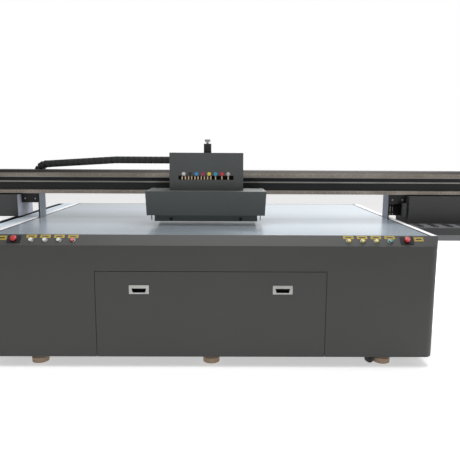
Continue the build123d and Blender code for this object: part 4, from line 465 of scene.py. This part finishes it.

# %% [markdown]
# ## Cable chain
# The chain is a row of nylon links: two oval side plates and thin cross bars that snap over the hoses. It
# lies in its trough, turns over, and comes back to the carriage. When the carriage moves, the lower run gets
# shorter by half the way and the upper run longer. For each group of links, a share of the carriage's motion
# is worked out that grows evenly along the chain, from none at the fixed end to all of it at the carriage, but
# it is not applied, so the groups keep their places.

# %% Path of the chain
chain_low, chain_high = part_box("cable_chain")
CHAIN_TALL = 0.057
CHAIN_BEND = 0.082
BEND_X, CREST_X = -1.383, -0.820
FIXED_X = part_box("chain_trough")[1].x - 0.150
END_X = chain_high.x if chain_high.x > FIXED_X else FIXED_X
chain_y = (chain_low.y + chain_high.y) / 2
run_low = chain_low.z + CHAIN_TALL / 2
run_bend = run_low + 2 * CHAIN_BEND
run_high = chain_high.z - CHAIN_TALL / 2
LINK_PITCH = 0.046


def chain_path(steps=600):
    """Points (x, z) along the middle of the chain, from the fixed end to the carriage."""
    points = [(FIXED_X + (BEND_X - FIXED_X) * k / steps, run_low) for k in range(steps)]
    for k in range(steps):
        angle = math.pi * k / steps
        points.append((BEND_X - CHAIN_BEND * math.sin(angle), run_low + CHAIN_BEND * (1 - math.cos(angle))))
    points += [(BEND_X + (CREST_X - BEND_X) * k / steps, run_bend + (run_high - run_bend) * k / steps)
               for k in range(steps)]
    points += [(CREST_X + (END_X - CREST_X) * k / steps, run_high) for k in range(steps + 1)]
    return [Vector((x, 0, z)) for x, z in points]


def chain_stations(pitch):
    """Places a pitch apart along the path, with the chain's direction there."""
    path, made, walked = chain_path(), [], 0.0
    length = sum((b - a).length for a, b in zip(path, path[1:]))
    count = round(length / pitch)
    step, target = length / count, length / count / 2
    for a, b in zip(path, path[1:]):
        run = (b - a).length
        while walked + run >= target and len(made) < count:
            made.append((a.lerp(b, (target - walked) / run), (b - a).normalized()))
            target += step
        walked += run
    return made


stations = chain_stations(LINK_PITCH)
print("chain of", len(stations), "links")

# %% Links


def add_link(bm, centre, along):
    """Two oval side plates, with two cross bars above and two below."""
    across = Y_AXIS
    rise = along.cross(across).normalized()
    place = Matrix((along, across, rise)).transposed().to_4x4()
    place.translation = Vector((centre.x, chain_y, centre.z))
    half_long, half_tall, half_wide, plate = LINK_PITCH * 0.56, CHAIN_TALL / 2, 0.040, 0.007
    for side in (-1, 1):
        outline = []
        for k in range(16):
            angle = 2 * math.pi * k / 16
            x = math.copysign(abs(math.cos(angle)) ** 0.45, math.cos(angle)) * half_long
            z = math.copysign(abs(math.sin(angle)) ** 0.45, math.sin(angle)) * half_tall * 0.96
            outline.append((x, z))
        faces = []
        for inner in (half_wide - plate, half_wide - 0.0015, half_wide):
            trim = 0.93 if inner == half_wide else 1.0
            faces.append([bm.verts.new(place @ Vector((x * trim, side * inner, z * trim))) for x, z in outline])
        for low, high in zip(faces, faces[1:]):
            for k in range(16):
                bm.faces.new((low[k], low[(k + 1) % 16], high[(k + 1) % 16], high[k]))
        bm.faces.new(faces[0])
        bm.faces.new(faces[-1])
        lathe(bm, [(0.009, 0.0), (0.009, 0.0008), (0.006, 0.0012)],
              place @ facing((0, side * (half_wide - 0.0005), 0), (0, side, 0)), 12)
    for x in (-0.3, 0.3):
        for z in (-1, 1):
            eased_block(bm, (x * LINK_PITCH - 0.007, -half_wide + plate, z * half_tall - 0.0025 * (1 + z)),
                        (x * LINK_PITCH + 0.007, half_wide - plate, z * half_tall + 0.0025 * (1 - z)),
                        0.0008, place)


def follow(obj, x_start, w_start, x_end, w_end):
    """Bakes the piece's place into its mesh. The ends and shares it is given are not used."""
    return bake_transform(obj)


GROUP = 4
lower = [s for s in stations if s[1].x < -0.99]
bend = [s for s in stations if abs(s[1].x) <= 0.99 and s[0].x < BEND_X]
upper = [s for s in stations if s not in lower and s not in bend]
chain_pieces = []
for label, run, w_from, w_to in (("lower", lower, 0.0, 0.5), ("upper", upper, 0.5, 1.0)):
    x_from, x_to = (FIXED_X, BEND_X) if label == "lower" else (BEND_X, END_X)
    for start in range(0, len(run), GROUP):
        part = run[start : start + GROUP]
        bm = bmesh.new()
        for centre, along in part:
            add_link(bm, centre, along)
        made = piece(f"cable_chain_{label}_{start // GROUP + 1}", bm, chain_nylon)
        ends = []
        for x in (part[0][0].x, part[-1][0].x):
            share = min(max((x - x_from) / (x_to - x_from), 0.0), 1.0)
            ends += [x, w_from + (w_to - w_from) * share]
        if len(part) == 1:
            ends[2], ends[3] = ends[0] + 0.01, ends[1] + 0.005 * (w_to - w_from) / (x_to - x_from)
        follow(made, *ends)
        chain_pieces.append(made)
bm = bmesh.new()
for centre, along in bend:
    add_link(bm, centre, along)
made = piece("cable_chain_bend", bm, chain_nylon)
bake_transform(made)
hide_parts("cable_chain")
print("chain pieces:", len(chain_pieces) + 1)

# %% [markdown]
# ## Colour marks, labels and button rims
# Eight round marks over the valve levers show which ink each pair holds. They are printed vinyl, so they are
# thin discs. Yellow labels sit over the buttons on the slanted band. They carry a plain dark bar in place of
# words.

# %% Colour marks
upper_low, upper_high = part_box("upper_cover")
INK_MARKS = ["#c9c8c6", "#1c1c1e", "#2a8fc4", "#a31f4f", "#d9bf2f", "#2f8fb5", "#c0282d", "#b8a6a4"]
lever_low, lever_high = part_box("valve_lever_white")
first_mark = (lever_low.x + lever_high.x) / 2
MARK_PITCH = 0.0464
MARK_Z = lever_high.z + 0.0145
for k, colour in enumerate(INK_MARKS):
    bm = bmesh.new()
    place = facing((first_mark + k * MARK_PITCH, upper_low.y - 0.0001, MARK_Z), (0, -1, 0))
    lathe(bm, [(0.0135, -0.0004), (0.0135, 0.0008), (0.0125, 0.0014), (0.001, 0.0016)], place, 24)
    piece(f"ink_mark_{k + 1}", bm, moulded(f"printed_vinyl_mark_{k + 1}", colour, 0.3, 1.5, coat=0.2), "head")
print("ink marks:", len(INK_MARKS))

# %% Labels on the slanted band
front_low, front_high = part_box("front_cover")
BAND = 0.060
SLOPE = Vector((0, -math.sqrt(0.5), math.sqrt(0.5)))
band_top = Vector((0, front_low.y + BAND, front_high.z))


def on_band(x, down):
    """A place on the band: local X to the right, local Y up the slope, local Z outwards."""
    point = band_top + Vector((x, -down / math.sqrt(2), -down / math.sqrt(2)))
    return facing(point, SLOPE)


def label(bm_face, bm_ink, place, wide, tall):
    eased_block(bm_face, (-wide / 2, -tall / 2, -0.0002), (wide / 2, tall / 2, 0.0006), 0.0003, place)
    eased_block(bm_ink, (-wide * 0.3, -tall * 0.16, 0.0005), (wide * 0.3, tall * 0.16, 0.0008), 0.0001, place)


face, ink = bmesh.new(), bmesh.new()
button_names = [n for n in nodes if n.startswith("button_")]
for name in button_names:
    low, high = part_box(name)
    label(face, ink, on_band((low.x + high.x) / 2, 0.0155), 0.066, 0.025)
for name, side in (("estop_left", -1), ("estop_right", 1)):
    low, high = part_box(name)
    label(face, ink, on_band((low.x + high.x) / 2 + side * 0.078, 0.028), 0.060, 0.032)
piece("band_labels", face, label_vinyl, "base")
piece("band_label_bars", ink, label_ink, "base")
print("labels on the band:", len(button_names) + 2)

# %% Rims round the buttons
bm = bmesh.new()
for name in button_names:
    low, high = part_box(name)
    place = on_band((low.x + high.x) / 2, 0.046)
    lathe(bm, [(0.0168, -0.0004), (0.0172, 0.0010), (0.0165, 0.0030), (0.0152, 0.0034), (0.0151, -0.0002)],
          place, 28)
piece("button_rims", bm, zinc_metal, "base")
print("button rims:", len(button_names))

# %% [markdown]
# ## Bolts and screws
# Rails are held by socket bolts at every hole, and the covers by button head screws. They catch the light as a
# row of bright dots, which is how the eye reads a rail from far away.

# %% Rail bolts
rails_low, rails_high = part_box("beam_rails")
RAIL_HOLE_PITCH = 0.060
RAIL_ROWS = (1.0760, 1.2075)
rail_length = rails_high.x - rails_low.x
hole_count = int((rail_length - RAIL_HOLE_PITCH / 2) / RAIL_HOLE_PITCH)
bm = bmesh.new()
for z in RAIL_ROWS:
    for k in range(hole_count):
        x = (k - (hole_count - 1) / 2) * RAIL_HOLE_PITCH
        place = facing((x, rails_low.y + 0.0088, z), (0, -1, 0))
        lathe(bm, [(0.0046, 0.0), (0.0046, 0.0058), (0.0040, 0.0064), (0.0025, 0.0064), (0.0024, 0.0030),
                   (0.0005, 0.0030)], place, 10)
piece("rail_bolts", bm, zinc_metal, "gantry")
print("rail bolts:", 2 * hole_count)

# %% Cover screws
rear_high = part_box("rear_cover")[1]
points = []
for z in (0.110, 0.470, 0.800):
    for k in range(9):
        points.append((-1.32 + 0.33 * k, rear_high.y - 0.0005, z))
screws("rear_cover_screws", "base", points, (0, 1, 0), 0.006, 0.12)
for side, name in ((-1, "side_cover_left"), (1, "side_cover_right")):
    low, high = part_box(name)
    x = low.x if side < 0 else high.x
    points = [(x, y, z) for y in (-0.84, -0.28, 0.28, 0.84) for z in (0.11, 0.45)]
    screws(f"{name}_screws", "base", points, (side, 0, 0), 0.006)
for name in ("end_box_left", "end_box_right"):
    low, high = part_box(name)
    points = [(x, high.y, z) for x in (low.x + 0.02, (low.x + high.x) / 2, high.x - 0.02)
              for z in (low.z + 0.02, high.z - 0.02)]
    screws(f"{name}_screws", "gantry", points, (0, 1, 0), 0.005)
head_low, head_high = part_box("lower_cover")
points = [(x, y, head_high.z) for x in (head_low.x + 0.02, head_high.x - 0.02)
          for y in (head_low.y + 0.03, head_high.y - 0.05)]
screws("lower_cover_screws", "head", points, (0, 0, 1), 0.005)
points = [(x, y, upper_high.z) for x in (upper_low.x + 0.02, upper_high.x - 0.02)
          for y in (upper_low.y + 0.02, upper_high.y - 0.02)]
screws("upper_cover_screws", "head", points, (0, 0, 1), 0.004)
BRACKET_FRONT, BRACKET_BOLT_Z = -0.121, 1.018
points = [(side * x, BRACKET_FRONT, BRACKET_BOLT_Z) for side in (-1, 1) for x in (1.430, 1.510)]
screws("leg_bracket_bolts", "gantry", points, (0, -1, 0), 0.0071)
print("cover screws made")

# %% [markdown]
# ## Seals and dark gaps
# Sheet metal covers never meet without a gap, and what the eye reads there is darkness. A black rubber seal
# lies behind the gap round the door, and it also stands for the shade in that gap. Black sheets of painted shade
# fill the slot in which each leg runs beside the table, and thin black lines of painted shade mark where the
# front and rear covers meet the side covers.

# %% Seals
table_low, table_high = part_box("vacuum_table")
door_low, door_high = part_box("door_panel")
SHEET = 0.003
# A black rubber seal behind the door gap, which also darkens the gap as painted shade.
bm = bmesh.new()
behind = door_low.y + SHEET + 0.0006
for side in (-1, 1):
    x = side * door_high.x
    eased_block(bm, (min(x, x + side * 0.012) + side * 0.0004, behind, 0.078),
                (max(x, x + side * 0.012) + side * 0.0004, behind + 0.008, door_high.z + 0.010), 0.001)
eased_block(bm, (door_low.x, behind, door_high.z + 0.0004), (door_high.x, behind + 0.008, door_high.z + 0.012),
            0.001)
piece("door_seal_and_gap_shade", bm, rubber_and_gap_shade, "base")
# Black sheets in the slots beside the table: painted shade in the gaps where the legs run.
bm = bmesh.new()
for side in (-1, 1):
    inner, outer = side * 1.4104, side * 1.4118
    eased_block(bm, (min(inner, outer), table_low.y + 0.002, 0.832),
                (max(inner, outer), table_high.y - 0.002, 0.8655), 0.0003)
    eased_block(bm, (min(side * 1.3961, side * 1.3972), table_low.y + 0.002, 0.833),
                (max(side * 1.3961, side * 1.3972), table_high.y - 0.002, 0.8655), 0.0003)
piece("leg_slot_shade", bm, rubber_and_gap_shade, "base")
side_low, side_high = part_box("side_cover_right")
# Thin black lines of painted shade where the front and rear covers meet the side covers.
bm = bmesh.new()
for side in (-1, 1):
    for y in (side_low.y, side_high.y):
        x = side * side_high.x
        eased_block(bm, (min(x, x + side * 0.0006) - 0.0002, y - 0.0012, side_low.z + 0.002),
                    (max(x, x + side * 0.0006) + 0.0002, y + 0.0012, side_high.z - 0.008), 0.0003)
piece("cover_seam_shade_lines", bm, rubber_and_gap_shade, "base")
print("seals made")

# %% [markdown]
# ## Small parts of the gantry and the head
# Two black thumb knobs hold the head's front guard. Ink pipes climb the plate behind the right leg, held by
# clips. The beam is an open extrusion, so plastic plugs close its cells at both ends. Rubber buffers stop the
# carriage at the ends of its rails.

# %% Knobs, pipes, plugs and buffers
plate_low, plate_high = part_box("head_plate")
beam_low, beam_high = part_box("beam")
middle = (plate_low.x + plate_high.x) / 2
bm = bmesh.new()
for side in (-1, 1):
    place = facing((middle + side * 0.25, plate_low.y + 0.0004, 0.912), (0, -1, 0))
    lathe(bm, [(0.007, -0.001), (0.007, 0.002), (0.0115, 0.0025), (0.012, 0.004), (0.012, 0.0085), (0.0112, 0.0095),
               (0.004, 0.0100), (0.003, 0.0085)], place, 20)
piece("head_thumb_knobs", bm, switch_plastic, "head")
bm = bmesh.new()
clips = bmesh.new()
for x in (1.457, 1.478):
    lathe(bm, [(0.004, 0.0), (0.004, 0.020), (0.0041, 0.050), (0.004, 0.108)],
          Matrix.Translation((x, 0.0084, 0.880)), 14)
    for z in (0.900, 0.955):
        lathe(clips, [(0.0048, 0.0), (0.0056, 0.0008), (0.0056, 0.0092), (0.0048, 0.0100)],
              Matrix.Translation((x, 0.0084, z)), 14)
piece("ink_pipes", bm, tank_plastic, "gantry")
piece("ink_pipe_clips", clips, switch_plastic, "gantry")
bm = bmesh.new()
cell_y = ((-0.0878, -0.0358), (-0.0252, 0.0267))
cell_z = ((1.0703, 1.1477), (1.1583, 1.2357))
for side in (-1, 1):
    for y0, y1 in cell_y:
        for z0, z1 in cell_z:
            x = side * (beam_high.x - 0.0015)
            eased_block(bm, (min(x, x - side * 0.006), y0, z0), (max(x, x - side * 0.006), y1, z1), 0.002)
piece("beam_end_plugs", bm, switch_plastic, "gantry")
bm = bmesh.new()
for x in (beam_low.x + 0.016, beam_high.x - 0.016):
    for z in RAIL_ROWS:
        lathe(bm, [(0.004, 0.0), (0.0095, 0.0005), (0.0105, 0.004), (0.0105, 0.012), (0.0085, 0.016), (0.003, 0.017)],
              facing((x, beam_low.y + 0.0002, z), (0, -1, 0)), 18)
piece("rail_buffers", bm, rubber_and_gap_shade, "gantry")
print("small parts made")

# %% [markdown]
# ## Inside the cabinet and at the back
# With the door down, the electrics cabinet and the vacuum blowers can be seen. Each door of the cabinet has a
# quarter turn latch and a pair of hinges, and each blower has a wire guard over its inlet and bolts round its
# rim. The back of each end box has a folded handle.

# %% Latches, hinges, guards and handles
cabinet_low, cabinet_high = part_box("electrics_cabinet")
bm = bmesh.new()
for x, hinge_side in ((cabinet_low.x + 0.185, -1), (cabinet_high.x - 0.185, 1)):
    place = facing((x - hinge_side * 0.145, cabinet_low.y - 0.0003, cabinet_low.z + 0.19), (0, -1, 0))
    lathe(bm, [(0.013, 0.0), (0.013, 0.002), (0.011, 0.004), (0.005, 0.0045), (0.0045, 0.003)], place, 20)
    for z in (0.05, 0.31):
        hinge = Matrix.Translation((x + hinge_side * 0.172, cabinet_low.y - 0.003, cabinet_low.z + z - 0.02))
        lathe(bm, [(0.004, 0.0), (0.005, 0.001), (0.005, 0.039), (0.004, 0.040)], hinge, 12)
piece("electrics_cabinet_latches", bm, zinc_metal, "base")
blower_low, blower_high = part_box("vacuum_blowers")
bm, bolts = bmesh.new(), bmesh.new()
BLOWER_RADIUS = 0.150
blower_front = blower_low.y
centre_z = blower_low.z + BLOWER_RADIUS + 0.030
centres = (blower_low.x + BLOWER_RADIUS, blower_high.x - 0.128)
for x in centres:
    for radius in (0.03, 0.055, 0.08, 0.105):
        place = facing((x, blower_front - 0.006, centre_z), (0, -1, 0))
        ring = [(radius - 0.0015, 0.0), (radius, -0.0015), (radius + 0.0015, 0.0), (radius, 0.0015)]
        made = [[bm.verts.new(place @ Vector((rr * math.cos(a), rr * math.sin(a), h))) for rr, h in ring]
                for a in (2 * math.pi * k / 32 for k in range(32))]
        for k in range(32):
            for c in range(4):
                bm.faces.new((made[k][c], made[k][(c + 1) % 4], made[(k + 1) % 32][(c + 1) % 4],
                              made[(k + 1) % 32][c]))
    for k in range(6):
        angle = math.pi * k / 3
        arm = Matrix.Translation((x, blower_front - 0.0045, centre_z)) @ Matrix.Rotation(angle, 4, "Y")
        eased_block(bm, (0.0, -0.0015, -0.0015), (0.125, 0.0015, 0.0015), 0.0005, arm)
        bolt_x, bolt_z = x + 0.138 * math.cos(angle + 0.5), centre_z + 0.138 * math.sin(angle + 0.5)
        place = facing((bolt_x, blower_front - 0.0001, bolt_z), (0, -1, 0))
        lathe(bolts, [(0.006, -0.001), (0.006, 0.004), (0.005, 0.005), (0.001, 0.0052)], place, 6)
piece("blower_guards", bm, zinc_metal, "base")
piece("blower_bolts", bolts, zinc_metal, "base")
bm = bmesh.new()
for name in ("end_box_left", "end_box_right"):
    low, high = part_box(name)
    x, z = (low.x + high.x) / 2, high.z - 0.050
    for side in (-1, 1):
        post = x + side * 0.055
        eased_block(bm, (post - 0.006, high.y - 0.0005, z - 0.006),
                    (post + 0.006, high.y + 0.026, z + 0.006), 0.003)
    eased_block(bm, (x - 0.062, high.y + 0.018, z - 0.006), (x + 0.062, high.y + 0.028, z + 0.006), 0.004)
piece("end_box_handles", bm, switch_plastic, "gantry")
print("inside and back dressed")

# %% [markdown]
# ## Floor, camera and light
# The machine stands on a plain pale floor under a large softbox, as for a catalogue. The floor is wide enough
# to meet the pale backdrop, and glows a little, as a lit cove does, so that it stays white. The room behind is
# brighter than the room in front, and brightest at the right, so the table shines and the front stays dark. The
# key softbox hangs above and behind, so the beam throws a soft shadow forward on the table, and a wide one over
# the front lights the slanted band.

# %% Floor
bm = bmesh.new()
bmesh.ops.create_grid(bm, x_segments=1, y_segments=1, size=30.0)
floor_mesh = bpy.data.meshes.new("studio_floor")
bm.to_mesh(floor_mesh)
bm.free()
floor = bpy.data.objects.new("studio_floor", floor_mesh)
scene.collection.objects.link(floor)
floor_paint, tree, shader, place = start_material("matt_white_floor_paint")
dust = add(tree, "ShaderNodeTexNoise", {"Vector": place, "Scale": per_mm(900), "Detail": 2.0})
tone = add(tree, "ShaderNodeMix", {"Factor": dust.outputs["Fac"], "A": linear("#f4f4f4"), "B": linear("#fafafa")},
           data_type="RGBA")
tree.links.new(tone.outputs["Result"], shader.inputs["Base Color"])
shader.inputs["Roughness"].default_value = 0.9
shader.inputs["Emission Color"].default_value = linear("#ffffff")
shader.inputs["Emission Strength"].default_value = 0.5
floor_mesh.materials.append(floor_paint)

# %% Camera
camera_data = bpy.data.cameras.new("camera")
camera_data.lens = 39.9
camera_data.sensor_width = 36.0
camera_data.clip_end = 100.0
camera = bpy.data.objects.new("camera", camera_data)
scene.collection.objects.link(camera)
turn = (Matrix.Rotation(math.radians(-0.45), 4, "Z") @ Matrix.Rotation(math.radians(90 - 8.6), 4, "X")
        @ Matrix.Rotation(math.radians(0.3), 4, "Z"))
camera.matrix_world = Matrix.Translation((0.095, -4.195, 1.385)) @ turn
scene.camera = camera

# %% Light
world = bpy.data.worlds.new("studio")
scene.world = world
world.use_nodes = True
tree = world.node_tree
backdrop = tree.nodes["Background"]
backdrop.inputs["Color"].default_value = linear("#ffffff")
way = add(tree, "ShaderNodeSeparateXYZ", {0: add(tree, "ShaderNodeTexCoord").outputs["Generated"]})
behind = add(tree, "ShaderNodeMapRange", {"Value": way.outputs["Y"], "From Min": -0.2, "From Max": 0.5,
                                          "To Min": 0.3, "To Max": 0.95})
across = add(tree, "ShaderNodeMapRange", {"Value": way.outputs["X"], "From Min": -0.35, "From Max": 0.35,
                                          "To Min": 0.6, "To Max": 1.15})
above = add(tree, "ShaderNodeMapRange", {"Value": way.outputs["Z"], "From Min": 0.25, "From Max": 0.7,
                                         "To Min": 1.0, "To Max": 0.5})
level = add(tree, "ShaderNodeMath", {0: behind.outputs[0], 1: across.outputs[0]}, operation="MULTIPLY")
level = add(tree, "ShaderNodeMath", {0: level.outputs[0], 1: above.outputs[0]}, operation="MULTIPLY")
seen = add(tree, "ShaderNodeLightPath")
strength = add(tree, "ShaderNodeMapRange", {"Value": seen.outputs["Is Camera Ray"], "To Min": level.outputs[0],
                                            "To Max": 1.0})
tree.links.new(strength.outputs[0], backdrop.inputs["Strength"])


def softbox(name, place, target, wide, tall, watts):
    data = bpy.data.lights.new(name, "AREA")
    data.shape = "RECTANGLE"
    data.size, data.size_y, data.energy = wide, tall, watts
    box = bpy.data.objects.new(name, data)
    scene.collection.objects.link(box)
    box.location = place
    box.rotation_euler = (Vector(target) - Vector(place)).to_track_quat("-Z", "Y").to_euler()
    box.visible_camera = False
    return box


softbox("overhead", (0.4, -1.0, 4.2), (0, -0.3, 0.9), 6.0, 3.0, 175)
softbox("key", (1.4, 2.4, 4.3), (0.2, 0, 0.9), 3.4, 0.5, 200)
scene.view_settings.view_transform = "Standard"
print("stage ready")
